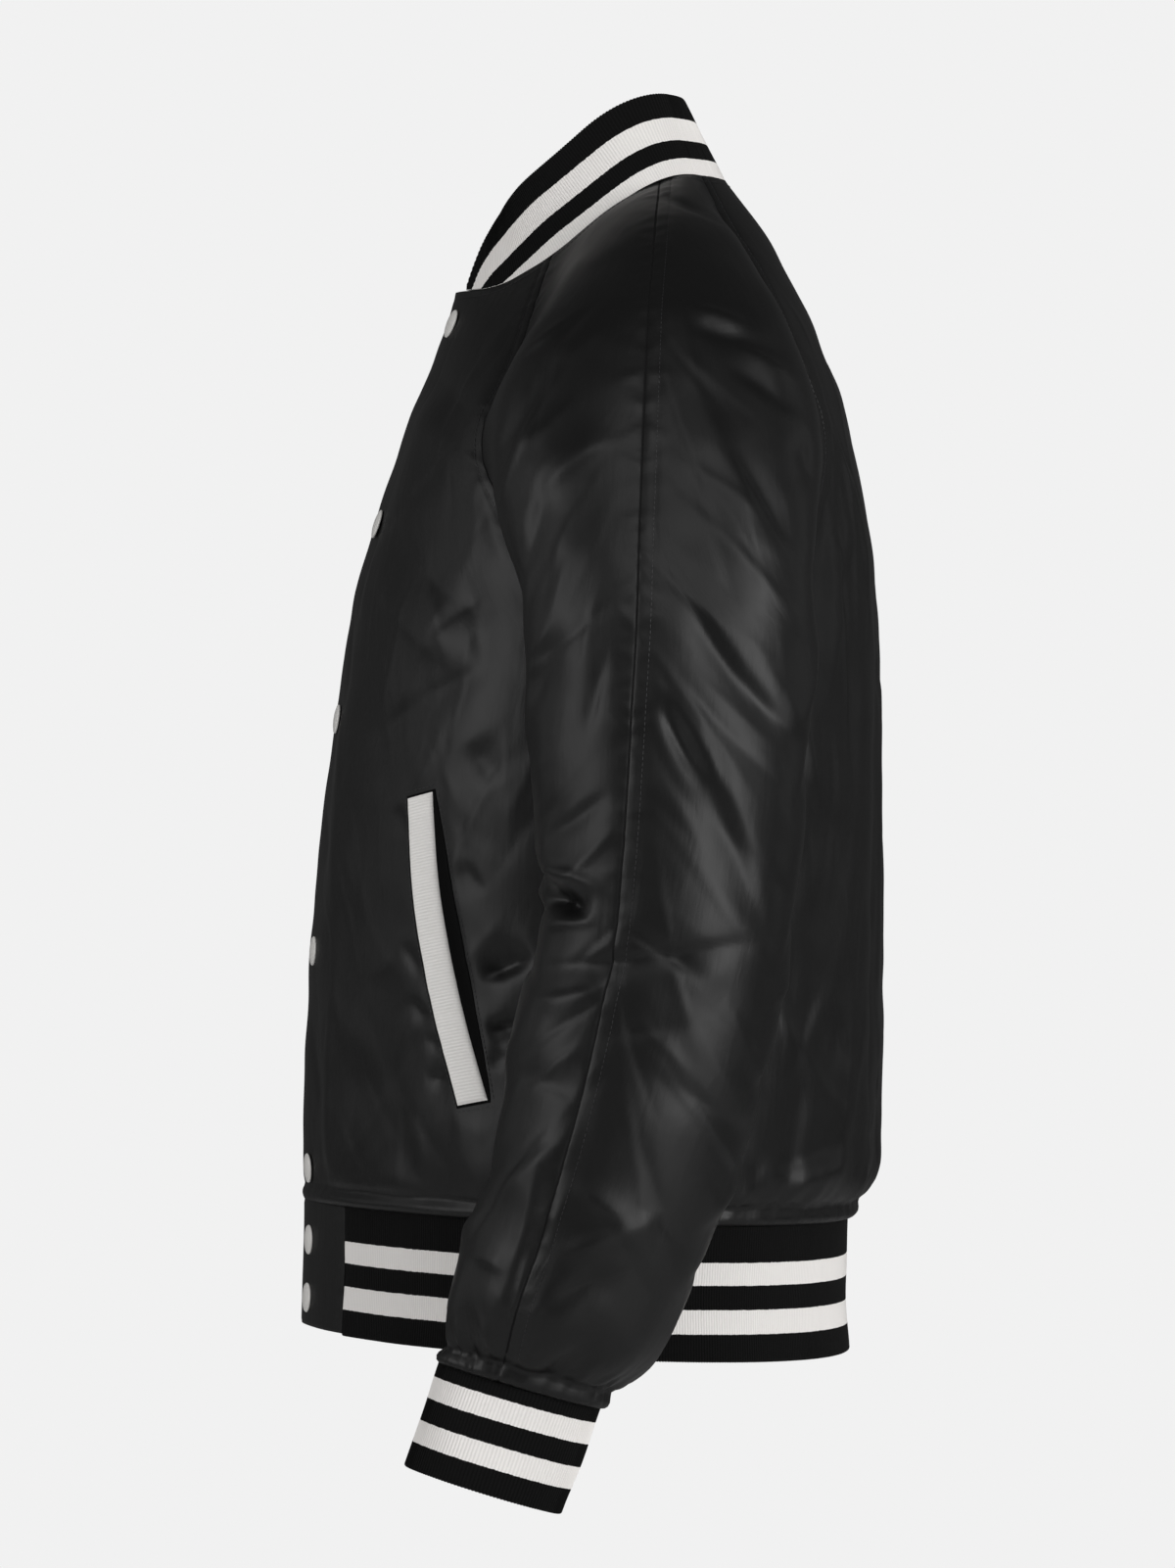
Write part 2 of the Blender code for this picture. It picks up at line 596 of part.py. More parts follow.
def underlap_offset(arcs):
    """How far the right front sinks under the left one, arcs taken on its own side."""
    return -UNDERLAP_DROP * ease((UNDERLAP_END_ARC - arcs) / (UNDERLAP_END_ARC + SNAP_ARC))


def fold_depth(points, across_axis, folds):
    """Sum of the folds at the points, seen along the other level axis."""
    place = points[..., [across_axis, 2]]
    total = np.zeros(points.shape[:-1])
    t = np.linspace(0, 1, FOLD_POINTS)[:, None]
    for start_x, start_z, end_x, end_z, bow, width, depth in folds.rows:
        start, end = np.array([start_x, start_z]), np.array([end_x, end_z])
        side = np.array([start[1] - end[1], end[0] - start[0]]) / np.linalg.norm(end - start)
        line = start + (end - start) * t + side * bow * 4 * t * (1 - t)
        nearest = np.full(total.shape, np.inf)
        for a, b in zip(line[:-1], line[1:]):
            share = np.clip(((place - a) @ (b - a)) / ((b - a) @ (b - a)), 0, 1)
            gap = np.linalg.norm(place - (a + share[..., None] * (b - a)), axis=-1)
            nearest = np.minimum(nearest, gap)
        total += depth * np.exp(-((nearest / width) ** 2))
    return total


def roll_depth(height):
    """Section of the rolled satin edge above a rib: a crease, then a full roll."""
    level = height / ROLL_HEIGHT
    roll = ROLL_OUT * np.sin(np.pi * np.clip(level, 0, 1)) ** ROLL_FULLNESS
    return roll - ROLL_CREASE * np.exp(-(((level - CREASE_LEVEL) / CREASE_WIDTH) ** 2))


def gather_depth(height, turn, waves, depth, reach):
    """Soft uneven waves that a gathering seam throws into the cloth above it."""
    wave = np.sin(waves * turn) + 0.5 * np.sin((waves // 2 + 2) * turn + 1.0)
    rise = ease(height / (GATHER_START * reach))
    return depth * wave * rise * np.exp(-((height / reach) ** 2))


def heights_above_hem(levels):
    """Distance of each body row from the hem seam."""
    length = YOKE.at(9).front_z - HEM_FRONT_Z
    return np.maximum(10 - levels, 0) * length


def raglan_points(front, back):
    """Every grid point on the four raglan seams."""
    left = np.vstack([front[: YOKE_ROWS + 1, -1], back[: YOKE_ROWS + 1, 0]])
    return np.vstack([left, left * np.array([-1.0, 1.0, 1.0])])


def raglan_fade(grid, seams):
    """0 on the raglan seams, which hold the cloth flat, rising to 1 where folds run free."""
    gaps = np.linalg.norm(grid[..., None, :] - seams, axis=-1).min(axis=-1)
    return ease(gaps / RAGLAN_FADE)


def shape_body(grid, normals, levels, seams, folds, arcs=None, lap=None):
    """Moves a body panel's points out along their normals: folds, gathers, roll and lap."""
    heights = heights_above_hem(levels)[:, None]
    turn = np.arctan2(grid[..., 0], -grid[..., 1])
    facing = ease(np.abs(normals[..., 1]) * 1.6)
    seen = np.abs(grid) * (1, 1, -1) if lap is not None else grid
    out = fold_depth(seen, 0, folds) * facing * raglan_fade(grid, seams)
    out = out * ease(heights / CALM_AT_HEM)
    beside_closure = ease((np.abs(turn) - 0.15) / 0.3)
    out = out + roll_depth(heights) * (ROLL_AT_CLOSURE + (1 - ROLL_AT_CLOSURE) * beside_closure)
    gathers = gather_depth(heights, turn, HEM_WAVES, HEM_WAVE_DEPTH, HEM_WAVE_REACH)
    out = out + gathers * beside_closure
    if lap is not None:
        out = out + lap(arcs)
    return grid + normals * out[..., None]


def shape_sleeve(grid, normals, centres, heights, seams):
    """Folds, cuff gathers and the roll of a sleeve half, about its rows' centres."""
    heights = heights[:, None]
    side = np.sign(centres[0, 0])
    away = grid - centres[:, None]
    turn = np.arctan2(away[..., 1], side * away[..., 0])
    facing = ease(np.clip(side * normals[..., 0], 0, 1) * 1.8)
    out = fold_depth(grid, 1, SLEEVE_FOLDS) * facing * raglan_fade(grid, seams)
    out = out * ease(heights / CALM_AT_CUFF)
    out = out + roll_depth(heights)
    out = out + gather_depth(heights, turn, CUFF_WAVES, CUFF_WAVE_DEPTH, CUFF_WAVE_REACH)
    return grid + normals * out[..., None]


# ---- Walls ----


def grid_normals(grid, wrap=False):
    """Unit normals of one grid, out of the cloth's outer face."""
    down = np.gradient(grid, axis=0)
    if wrap:
        run = np.roll(grid, -1, axis=1) - np.roll(grid, 1, axis=1)
    else:
        run = np.gradient(grid, axis=1)
    return unit(np.cross(down, run))


def shared_normals(grids):
    """Normals of all grids, with points that coincide at a seam sharing one mitred normal."""
    own = {name: grid_normals(grid) for name, grid in grids.items()}
    sums, counts = {}, {}
    keys = {}
    for name, grid in grids.items():
        keys[name] = [[tuple(p) for p in row] for row in np.round(grid * 1e6).astype(int)]
        for key_row, normal_row in zip(keys[name], own[name]):
            for key, normal in zip(key_row, normal_row):
                sums[key] = sums.get(key, 0) + normal
                counts[key] = counts.get(key, 0) + 1
    armpits = [keys["front_left"][YOKE_ROWS][-1], keys["front_right"][YOKE_ROWS][0]]
    shared, reach = {}, {}
    for name, key_rows in keys.items():
        normals, lengths = own[name].copy(), np.ones(own[name].shape[:2])
        for i, key_row in enumerate(key_rows):
            for j, key in enumerate(key_row):
                if counts[key] > 1:
                    normals[i, j] = unit(sums[key])
                    lengths[i, j] = 1 / max(normals[i, j] @ own[name][i, j], 1 / MITRE_LIMIT)
                if key in armpits:
                    normals[i, j] = (0.0, 0.0, -1.0)
                    lengths[i, j] = MITRE_LIMIT
        shared[name], reach[name] = normals, lengths
    return shared, reach


def seam_pull(grid, normals, side):
    """Steps that draw one side of a panel back from its seam, along the cloth."""
    line = {"top": grid[0], "bottom": grid[-1], "start": grid[:, 0], "end": grid[:, -1]}[side]
    lean = {
        "top": normals[0],
        "bottom": normals[-1],
        "start": normals[:, 0],
        "end": normals[:, -1],
    }[side]
    inside = {
        "top": grid[1:3].mean(axis=0),
        "bottom": grid[-3:-1].mean(axis=0),
        "start": grid[:, 1:4].mean(axis=1),
        "end": grid[:, -4:-1].mean(axis=1),
    }[side]
    step = unit(np.cross(lean, unit(np.gradient(line, axis=0))))
    step *= np.sign((step * (inside - line)).sum(axis=1))[:, None]
    return step * SEAM_GAP / 2


def draw_back(grid, inner, normals, sides):
    """Draws both faces of a panel back from the seams on the named sides."""
    moved = [grid.copy(), inner.copy()]
    for side in sides:
        step = seam_pull(grid, normals, side)
        if side in ("start", "end") and len(grid) > YOKE_ROWS:
            inward = np.sign(grid[..., 0].mean() - grid[YOKE_ROWS, 0 if side == "start" else -1, 0])
            step[YOKE_ROWS] = (inward * SEAM_GAP / 2, 0.0, 0.0)
        for face in moved:
            target = {
                "top": face[0],
                "bottom": face[-1],
                "start": face[:, 0],
                "end": face[:, -1],
            }[side]
            target += step
    return moved


def material(finish):
    """The Principled material of a finish, made once."""
    name, colour, roughness = finish
    if name in bpy.data.materials:
        return bpy.data.materials[name]
    made = bpy.data.materials.new(name)
    made.use_nodes = True
    shader = made.node_tree.nodes["Principled BSDF"]
    shader.inputs["Base Color"].default_value = (*colour, 1.0)
    shader.inputs["Roughness"].default_value = roughness
    shader.inputs["Metallic"].default_value = 0.0
    made.diffuse_color = (*colour, 1.0)
    return made


def wall(name, outer, inner, finishes, row_finish=None, wrap=False):
    """One closed solid between an outer and an inner grid."""
    rows, columns = outer.shape[:2]
    points = np.vstack([outer.reshape(-1, 3), inner.reshape(-1, 3)])
    offset = rows * columns
    faces, slots = [], []

    def corner(i, j, inside=False):
        return i * columns + j % columns + (offset if inside else 0)

    def add(a, b, c, d, row):
        if np.linalg.norm(points[a] - points[c]) <= np.linalg.norm(points[b] - points[d]):
            faces.extend([(a, b, c), (a, c, d)])
        else:
            faces.extend([(a, b, d), (b, c, d)])
        slots.extend([row_finish[row] if row_finish else 0] * 2)

    last = columns if wrap else columns - 1
    for i in range(rows - 1):
        for j in range(last):
            add(corner(i, j), corner(i + 1, j), corner(i + 1, j + 1), corner(i, j + 1), i)
            inside = [corner(i, j, True), corner(i, j + 1, True)]
            add(*inside, corner(i + 1, j + 1, True), corner(i + 1, j, True), i)
        if not wrap:
            add(corner(i, 0), corner(i, 0, True), corner(i + 1, 0, True), corner(i + 1, 0), i)
            edge = [corner(i + 1, last), corner(i + 1, last, True)]
            add(*edge, corner(i, last, True), corner(i, last), i)
    for j in range(last):
        add(corner(0, j), corner(0, j + 1), corner(0, j + 1, True), corner(0, j, True), 0)
        bottom = [corner(rows - 1, j, True), corner(rows - 1, j + 1, True)]
        add(*bottom, corner(rows - 1, j + 1), corner(rows - 1, j), rows - 2)

    mesh = bpy.data.meshes.new(name)
    mesh.from_pydata(points.tolist(), [], faces)
    for finish in finishes:
        mesh.materials.append(material(finish))
    mesh.polygons.foreach_set("material_index", slots)
    mesh.update()
    mesh.shade_smooth()
    mesh.set_sharp_from_angle(angle=math.radians(SHARP_ANGLE))
    made = bpy.data.objects.new(name, mesh)
    bpy.context.scene.collection.objects.link(made)
    return made


# ---- Pieces that lie on a panel ----


def panel_point(grid, levels, arcs, level, arc):
    """The point and normal of a panel's facets at a level and an arc."""
    row = float(np.interp(level, levels, np.arange(len(levels))))
    upper = min(int(row), len(levels) - 2)
    rows = []
    for i in (upper, upper + 1):
        rows.append(along(grid[i], arcs[i], arc))
        rows.append(along(grid[i], arcs[i], arc + WIDE_STEP))
    share = row - upper
    point = rows[0] * (1 - share) + rows[2] * share
    beside = rows[1] * (1 - share) + rows[3] * share
    return point, unit(np.cross(rows[2] - rows[0], beside - point))


def level_at_front_z(z):
    """The body level whose centre front lies at this height."""
    levels = np.linspace(0, 10, LEVEL_STEPS)
    heights = np.array([body_ring(level).front_z for level in levels])
    return float(np.interp(-z, -heights, levels))


def welt_grids(front, levels, arcs):
    """Outer and inner grids of the slanted pocket welt, made from the front's own points."""
    outer, inner = [], []
    for share in np.linspace(0, 1, WELT_ROWS + 1):
        level = level_at_front_z(WELT_TOP_Z + (WELT_FOOT_Z - WELT_TOP_Z) * share)
        middle = WELT_TOP_ARC + (WELT_FOOT_ARC - WELT_TOP_ARC) * share
        middle -= WELT_BOW * math.sin(math.pi * share)
        rows = [[], []]
        for across in np.linspace(-0.5, 0.5, WELT_COLUMNS + 1):
            point, normal = panel_point(front, levels, arcs, level, middle + across * WELT_WIDTH)
            rows[0].append(point + normal * (WELT_GAP + WELT_WALL))
            rows[1].append(point + normal * WELT_GAP)
        outer.append(rows[0])
        inner.append(rows[1])
    return np.array(outer), np.array(inner)


def cap_seat(grid, levels, arcs, level_of, height):
    """Middle and normal of the plane that rests on the cloth all round a snap cap."""
    rim = []
    for turn in np.linspace(0, 2 * math.pi, CAP_SIDES, endpoint=False):
        level = level_of(height + CAP_RADIUS * math.sin(turn))
        arc = SNAP_ARC + CAP_RADIUS * math.cos(turn)
        rim.append(panel_point(grid, levels, arcs, level, arc)[0])
    middle = np.mean(rim, axis=0)
    spokes = np.array(rim) - middle
    normal = unit(np.cross(spokes, np.roll(spokes, -1, axis=0)).sum(axis=0))
    centre, _ = panel_point(grid, levels, arcs, level_of(height), SNAP_ARC)
    highest = max((spokes @ normal).max(), (centre - middle) @ normal)
    return middle + normal * (highest + SEAM_GAP), normal


def snap_cap(name, base, normal):
    """A domed cap turned about the cloth's normal."""
    profile = [(1.0, 0.0), (1.0, CAP_RIM)]
    for turn in (30, 60):
        angle = math.radians(turn)
        height = CAP_RIM + (CAP_HEIGHT - CAP_RIM) * math.sin(angle)
        profile.append((math.cos(angle) ** 0.6, height))
    side = unit(np.cross(normal, (0.0, 0.0, 1.0)))
    up = np.cross(side, normal)
    points = [base]
    for radius, height in profile:
        for k in range(CAP_SIDES):
            angle = 2 * math.pi * k / CAP_SIDES
            spoke = side * math.cos(angle) + up * math.sin(angle)
            points.append(base + spoke * radius * CAP_RADIUS + normal * height)
    points.append(base + normal * CAP_HEIGHT)
    top = len(points) - 1
    faces = []
    for k in range(CAP_SIDES):
        after = (k + 1) % CAP_SIDES
        faces.append((0, 1 + k, 1 + after))
        for ring in range(len(profile) - 1):
            low, high = 1 + ring * CAP_SIDES, 1 + (ring + 1) * CAP_SIDES
            faces.append((low + after, low + k, high + k, high + after))
        faces.append((top, top - CAP_SIDES + after, top - CAP_SIDES + k))
    mesh = bpy.data.meshes.new(name)
    mesh.from_pydata([tuple(p) for p in points], [], faces)
    mesh.materials.append(material(WHITE_CAP))
    mesh.update()
    mesh.shade_smooth()
    mesh.set_sharp_from_angle(angle=math.radians(SHARP_ANGLE))
    cap = bpy.data.objects.new(name, mesh)
    bpy.context.scene.collection.objects.link(cap)


# ---- The jacket ----


def build_satin():
    """All satin panels, and the left front as it lies, for what is set on it."""
    levels = body_levels()
    left, left_arcs = front_grid(levels, LEFT_LAP_ARCS)
    right, right_arcs = front_grid(levels, RIGHT_LAP_ARCS)
    sleeve_front, sleeve_back = sleeve_grids()
    grids = {
        "front_left": left,
        "front_right": mirrored(right),
        "back": back_grid(levels),
        "sleeve_left_front": sleeve_front,
        "sleeve_left_back": sleeve_back,
        "sleeve_right_front": swung(mirrored(sleeve_front)),
        "sleeve_right_back": swung(mirrored(sleeve_back)),
    }
    normals, _ = shared_normals(grids)
    seams = raglan_points(left, grids["back"])
    centres = {"left": (sleeve_front.mean(axis=1) + sleeve_back.mean(axis=1)) / 2}
    centres["right"] = swung(centres["left"] * np.array([-1.0, 1.0, 1.0]))
    above_cuff = heights_above_cuff(centres["left"])
    laps = {
        "front_left": (left_arcs, lap_offset),
        "front_right": (right_arcs[:, ::-1], underlap_offset),
    }
    shaped = {}
    for name, grid in grids.items():
        if name.startswith("sleeve"):
            side = centres[name.split("_")[1]]
            shaped[name] = shape_sleeve(grid, normals[name], side, above_cuff, seams)
        elif name == "back":
            shaped[name] = shape_body(grid, normals[name], levels, seams, BACK_FOLDS)
        else:
            own = (FRONT_FOLDS, *laps[name])
            shaped[name] = shape_body(grid, normals[name], levels, seams, *own)
    normals, reach = shared_normals(shaped)
    seams = {
        "front_left": ("end", "top", "bottom"),
        "front_right": ("start", "top", "bottom"),
    }
    for name, grid in shaped.items():
        inner = grid - normals[name] * (SATIN_WALL * reach[name])[..., None]
        sides = seams.get(name, ("start", "end", "top", "bottom"))
        faces = draw_back(grid, inner, normals[name], sides)
        wall(name, *faces, [BLACK_SATIN])
    return shaped["front_left"], levels, left_arcs


def build_ribs():
    """Collar, hem rib and cuffs, each banded in black and white."""
    stripes = [0, 1, 0, 1, 0]
    collar, arcs = collar_grid()
    normals = grid_normals(collar)
    collar = collar + normals * (lap_offset(arcs) * (arcs > 0))[None, :, None]
    normals = grid_normals(collar)
    faces = draw_back(collar, collar - normals * RIB_WALL, normals, ["bottom"])
    wall("collar", *faces, [BLACK_RIB, WHITE_RIB], stripes)

    rib = hem_rib_grid()
    normals = grid_normals(rib)
    faces = draw_back(rib, rib - normals * RIB_WALL, normals, ["top", "start", "end"])
    wall("hem_rib", *faces, [BLACK_RIB, WHITE_RIB], stripes)

    cuff = cuff_grid()
    normals = grid_normals(cuff, wrap=True)
    faces = draw_back(cuff, cuff - normals * RIB_WALL, normals, ["top"])
    wall("cuff_left", *faces, [BLACK_RIB, WHITE_RIB], stripes, wrap=True)
    faces = [swung(mirrored(face)) for face in faces]
    wall("cuff_right", *faces, [BLACK_RIB, WHITE_RIB], stripes, wrap=True)


def build_tabs():
    """The two satin tabs that end the hem rib, left over right."""
    tab, arcs = tab_grid(LEFT_LAP_ARCS)
    left = tab + grid_normals(tab) * lap_offset(arcs)[..., None]
    normals = grid_normals(left)
    faces = draw_back(left, left - normals * SATIN_WALL, normals, ["top", "end"])
    wall("hem_tab_left", *faces, [BLACK_SATIN])

    tab, right_arcs = tab_grid(RIGHT_LAP_ARCS)
    right = tab + grid_normals(tab) * underlap_offset(right_arcs)[..., None]
    normals = grid_normals(right)
    faces = draw_back(right, right - normals * SATIN_WALL, normals, ["top", "end"])
    wall("hem_tab_right", *[mirrored(face) for face in faces], [BLACK_SATIN])
    return left, arcs


def build_trim(front, levels, arcs, tab, tab_arcs):
    """Pocket welts and snap caps, set on the panels that carry them."""
    outer, inner = welt_grids(front, levels, arcs)
    wall("welt_left", outer, inner, [WHITE_RIB])
    wall("welt_right", mirrored(outer), mirrored(inner), [WHITE_RIB])
    seats = [cap_seat(front, levels, arcs, level_at_front_z, z) for z in SNAP_HEIGHTS]

    def tab_row(z):
        return float(np.interp(-z, -tab[:, 0, 2], np.arange(TAB_ROWS)))

    for z in TAB_SNAP_HEIGHTS:
        seats.append(cap_seat(tab, np.arange(TAB_ROWS), tab_arcs, tab_row, z))
    for number, seat in enumerate(seats, start=1):
        snap_cap(f"snap_{number}", *seat)


def build():
    """Clears the scene and makes every piece of the jacket."""
    for old in list(bpy.data.objects):
        bpy.data.objects.remove(old, do_unlink=True)
    front, levels, arcs = build_satin()
    build_ribs()
    tab, tab_arcs = build_tabs()
    build_trim(front, levels, arcs, tab, tab_arcs)


build()
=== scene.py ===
# %% [markdown]
# # A black satin varsity jacket, filled out as if worn
# This lesson makes a whole garment from a few tables of numbers. Blender's cloth solver could
# drape it, but a worn satin jacket keeps creases that the wearer has pressed into it, in
# places that a solver doesn't choose. So every panel here is a fine grid on the jacket's form,
# and its creases, gathers and seam puckers are laid on in the jacket's own sizes.

# %% Load the frame
import math
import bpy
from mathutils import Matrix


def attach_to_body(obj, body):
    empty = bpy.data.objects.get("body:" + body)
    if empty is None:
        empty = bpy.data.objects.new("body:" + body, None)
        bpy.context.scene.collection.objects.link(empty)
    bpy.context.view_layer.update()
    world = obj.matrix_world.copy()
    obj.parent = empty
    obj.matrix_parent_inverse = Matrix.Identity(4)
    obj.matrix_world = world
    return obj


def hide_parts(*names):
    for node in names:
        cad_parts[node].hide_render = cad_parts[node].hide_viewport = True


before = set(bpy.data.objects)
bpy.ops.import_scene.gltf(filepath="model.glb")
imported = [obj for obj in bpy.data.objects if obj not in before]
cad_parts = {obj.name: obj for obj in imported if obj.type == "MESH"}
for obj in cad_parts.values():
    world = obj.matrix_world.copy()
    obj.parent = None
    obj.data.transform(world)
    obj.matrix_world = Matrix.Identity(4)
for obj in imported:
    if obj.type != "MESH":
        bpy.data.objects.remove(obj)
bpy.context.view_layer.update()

from types import SimpleNamespace

import bpy
import numpy as np
from mathutils import Vector

print("nodes to dress:", len(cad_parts))

# %% [markdown]
# ## Where the camera stands
# The photograph looks at the wearer's left side from far away, level with the middle of the
# jacket. A long lens keeps the near sleeve from looming over the body. The frame is taller
# than it is wide, so the sensor is fitted to the height.

# %% Camera
VIEW_DISTANCE, VIEW_MIDDLE_Y, VIEW_MIDDLE_Z = 4.5, -0.0116, -0.328
FRAME_HEIGHT, SENSOR = 0.9286, 36.0

lens = bpy.data.cameras.new("side_camera")
lens.sensor_fit = "VERTICAL"
lens.sensor_height = SENSOR
lens.lens = SENSOR * VIEW_DISTANCE / FRAME_HEIGHT
camera = bpy.data.objects.new("side_camera", lens)
camera.location = (VIEW_DISTANCE, VIEW_MIDDLE_Y, VIEW_MIDDLE_Z)
camera.rotation_euler = (math.radians(90), 0, math.radians(90))
bpy.context.scene.collection.objects.link(camera)
bpy.context.scene.camera = camera
print("lens, mm:", round(lens.lens, 1))

# %% [markdown]
# ## Tables that are read smoothly
# A pattern maker grades a garment from a table of measures. A `Measures` table does the same:
# it has named columns, and it can be read between its rows along a curve without kinks.

# %% A smooth table
class Measures:
    """Rows of numbers under named columns, read smoothly along the first column."""

    def __init__(self, columns, rows):
        self.names = columns.split()
        self.rows = np.array(rows, float)
        self.keys = self.rows[:, 0]
        steps = np.diff(self.keys)[:, None]
        slopes = np.diff(self.rows, axis=0) / steps
        inner = (slopes[:-1] * steps[1:] + slopes[1:] * steps[:-1]) / (steps[:-1] + steps[1:])
        self.tangents = np.vstack([slopes[:1], inner, slopes[-1:]])

    def at(self, key):
        k = int(np.clip(np.searchsorted(self.keys, key) - 1, 0, len(self.keys) - 2))
        width = self.keys[k + 1] - self.keys[k]
        t = min(max((key - self.keys[k]) / width, 0.0), 1.0)
        values = (
            (1 + 2 * t) * (1 - t) ** 2 * self.rows[k]
            + t * (1 - t) ** 2 * width * self.tangents[k]
            + t * t * (3 - 2 * t) * self.rows[k + 1]
            + t * t * (t - 1) * width * self.tangents[k + 1]
        )
        return SimpleNamespace(**dict(zip(self.names, values)))


# %% [markdown]
# ## The jacket's form
# These are the same measures that the solids are made from, so the fine cloth lies where the
# plain solid lies. The yoke runs from the neckline to the armpits, and the body from there to
# the hem seam. A raglan sleeve has no shoulder seam: its cap runs up to the neck, which is
# why the sleeve's table starts at the neckline too.

# %% Sizes shared by the panels
LEFT_EDGE_ARC, SNAP_ARC, LAP_END_ARC = 0.003, 0.027, 0.043
RIGHT_EDGE_ARC, UNDERLAP_END_ARC = -0.037, 0.012
LAP_LIFT, UNDERLAP_DROP = 0.0022, 0.0026
TAB_ARC, COLLAR_END_ARC = 0.088, 0.031
RIGHT_SWING = 0.008
HEM_FRONT_Z, HEM_BACK_Z = -0.573, -0.583
ROLL_HEIGHT, ROLL_OUT, ROLL_CREASE, ROLL_AT_CLOSURE = 0.0085, 0.0026, 0.0014, 0.45
HEM_BANDS = (0.0205, 0.0130, 0.0138, 0.0137, 0.0145)
CUFF_BANDS = (0.0075, 0.0118, 0.0124, 0.0120, 0.0128)
COLLAR_BANDS = (0.0150, 0.0145, 0.0118, 0.0167)
WELT_TOP_Z, WELT_FOOT_Z = -0.334, -0.507
WELT_TOP_ARC, WELT_FOOT_ARC = 0.171, 0.212
WELT_BOW, WELT_WIDTH, WELT_THICK = 0.007, 0.020, 0.0016

# %% Yoke and body
YOKE = Measures(
    "row front_z front_y front_half front_round front_seam_y"
    " back_z back_y back_half back_round back_seam_y side_y",
    [
        (0, -0.0377, -0.0885, 0.0845, 2.00, -0.0330, 0.028, 0.0700, 0.0845, 2.20, 0.0555, 0.005),
        (1, -0.0560, -0.0930, 0.1150, 1.92, -0.0425, -0.003, 0.0935, 0.1020, 2.40, 0.0700, 0.004),
        (2, -0.0760, -0.1005, 0.1390, 1.92, -0.0490, -0.030, 0.1076, 0.1330, 2.60, 0.0870, 0.004),
        (3, -0.0980, -0.1090, 0.1640, 1.95, -0.0580, -0.060, 0.1230, 0.1590, 2.85, 0.1003, 0.004),
        (4, -0.1210, -0.1190, 0.1830, 2.00, -0.0710, -0.092, 0.1345, 0.1780, 3.00, 0.1125, 0.004),
        (5, -0.1450, -0.1254, 0.1905, 2.05, -0.0715, -0.125, 0.1430, 0.1920, 3.05, 0.1228, 0.005),
        (6, -0.1710, -0.1339, 0.1920, 2.10, -0.0600, -0.160, 0.1505, 0.1980, 2.95, 0.1190, 0.006),
        (7, -0.1990, -0.1426, 0.1945, 2.12, -0.0440, -0.195, 0.1565, 0.2000, 2.80, 0.1010, 0.006),
        (8, -0.2215, -0.1483, 0.1985, 2.15, -0.0240, -0.220, 0.1587, 0.2015, 2.65, 0.0660, 0.007),
        (9, -0.2370, -0.1507, 0.2031, 2.15, 0.0070, -0.237, 0.1597, 0.2031, 2.50, 0.0070, 0.007),
    ],
)
BODY = Measures(
    "share front_y back_y half side_y front_round back_round",
    [
        (0.00, -0.1507, 0.1597, 0.2031, 0.007, 2.15, 2.50),
        (0.13, -0.1574, 0.1614, 0.2035, 0.004, 2.12, 2.42),
        (0.27, -0.1642, 0.1627, 0.2030, 0.001, 2.05, 2.35),
        (0.42, -0.1696, 0.1632, 0.2010, -0.002, 2.00, 2.30),
        (0.57, -0.1737, 0.1631, 0.1990, -0.005, 1.92, 2.25),
        (0.72, -0.1764, 0.1628, 0.1985, -0.008, 1.85, 2.25),
        (0.85, -0.1777, 0.1610, 0.1985, -0.011, 1.80, 2.25),
        (0.94, -0.1778, 0.1568, 0.1962, -0.013, 1.75, 2.28),
        (1.00, -0.1772, 0.1430, 0.1870, -0.017, 1.72, 2.30),
    ],
)
HEM = Measures(
    "share front_z back_z front_y back_y half side_y",
    [
        (0.0, HEM_FRONT_Z, HEM_BACK_Z, -0.1772, 0.1430, 0.1870, -0.017),
        (0.5, -0.6096, -0.6214, -0.1780, 0.1408, 0.1850, -0.018),
        (1.0, -0.6465, -0.6600, -0.1796, 0.1425, 0.1862, -0.018),
    ],
)

# %% Sleeve, cuff and collar
CAP = Measures(
    "row front_x front_y front_z crown_x crown_y crown_z rear_x rear_y rear_z leave meet",
    [
        (0, 0.0842, -0.001, 0.0046, 0.0796, 0.0300, 0.0235, 0.0710, 0.0455, 0.0275, 80, 146),
        (1, 0.1125, -0.010, -0.0125, 0.1200, 0.0285, 0.0095, 0.1020, 0.0560, 0.0100, 66, 150),
        (2, 0.1460, -0.016, -0.0290, 0.1580, 0.0270, -0.0085, 0.1350, 0.0670, -0.0080, 58, 150),
        (3, 0.1770, -0.026, -0.0490, 0.1930, 0.0250, -0.0300, 0.1660, 0.0790, -0.0290, 46, 148),
        (4, 0.2030, -0.041, -0.0740, 0.2240, 0.0225, -0.0570, 0.1950, 0.0910, -0.0560, 28, 148),
        (5, 0.2210, -0.054, -0.1070, 0.2500, 0.0210, -0.0890, 0.2160, 0.1060, -0.0900, 6, 154),
        (6, 0.2335, -0.061, -0.1420, 0.2704, 0.0195, -0.1240, 0.2300, 0.1140, -0.1290, -20, 176),
        (7, 0.2430, -0.0590, -0.1740, 0.2874, 0.0180, -0.1610, 0.2410, 0.1165, -0.1680, -46, 208),
        (8, 0.2515, -0.0530, -0.2030, 0.3024, 0.0165, -0.1990, 0.2505, 0.1163, -0.2050, -64, 244),
        (9, 0.2587, -0.0478, -0.2320, 0.3160, 0.0155, -0.2380, 0.2587, 0.1146, -0.2460, -76, 284),
    ],
)
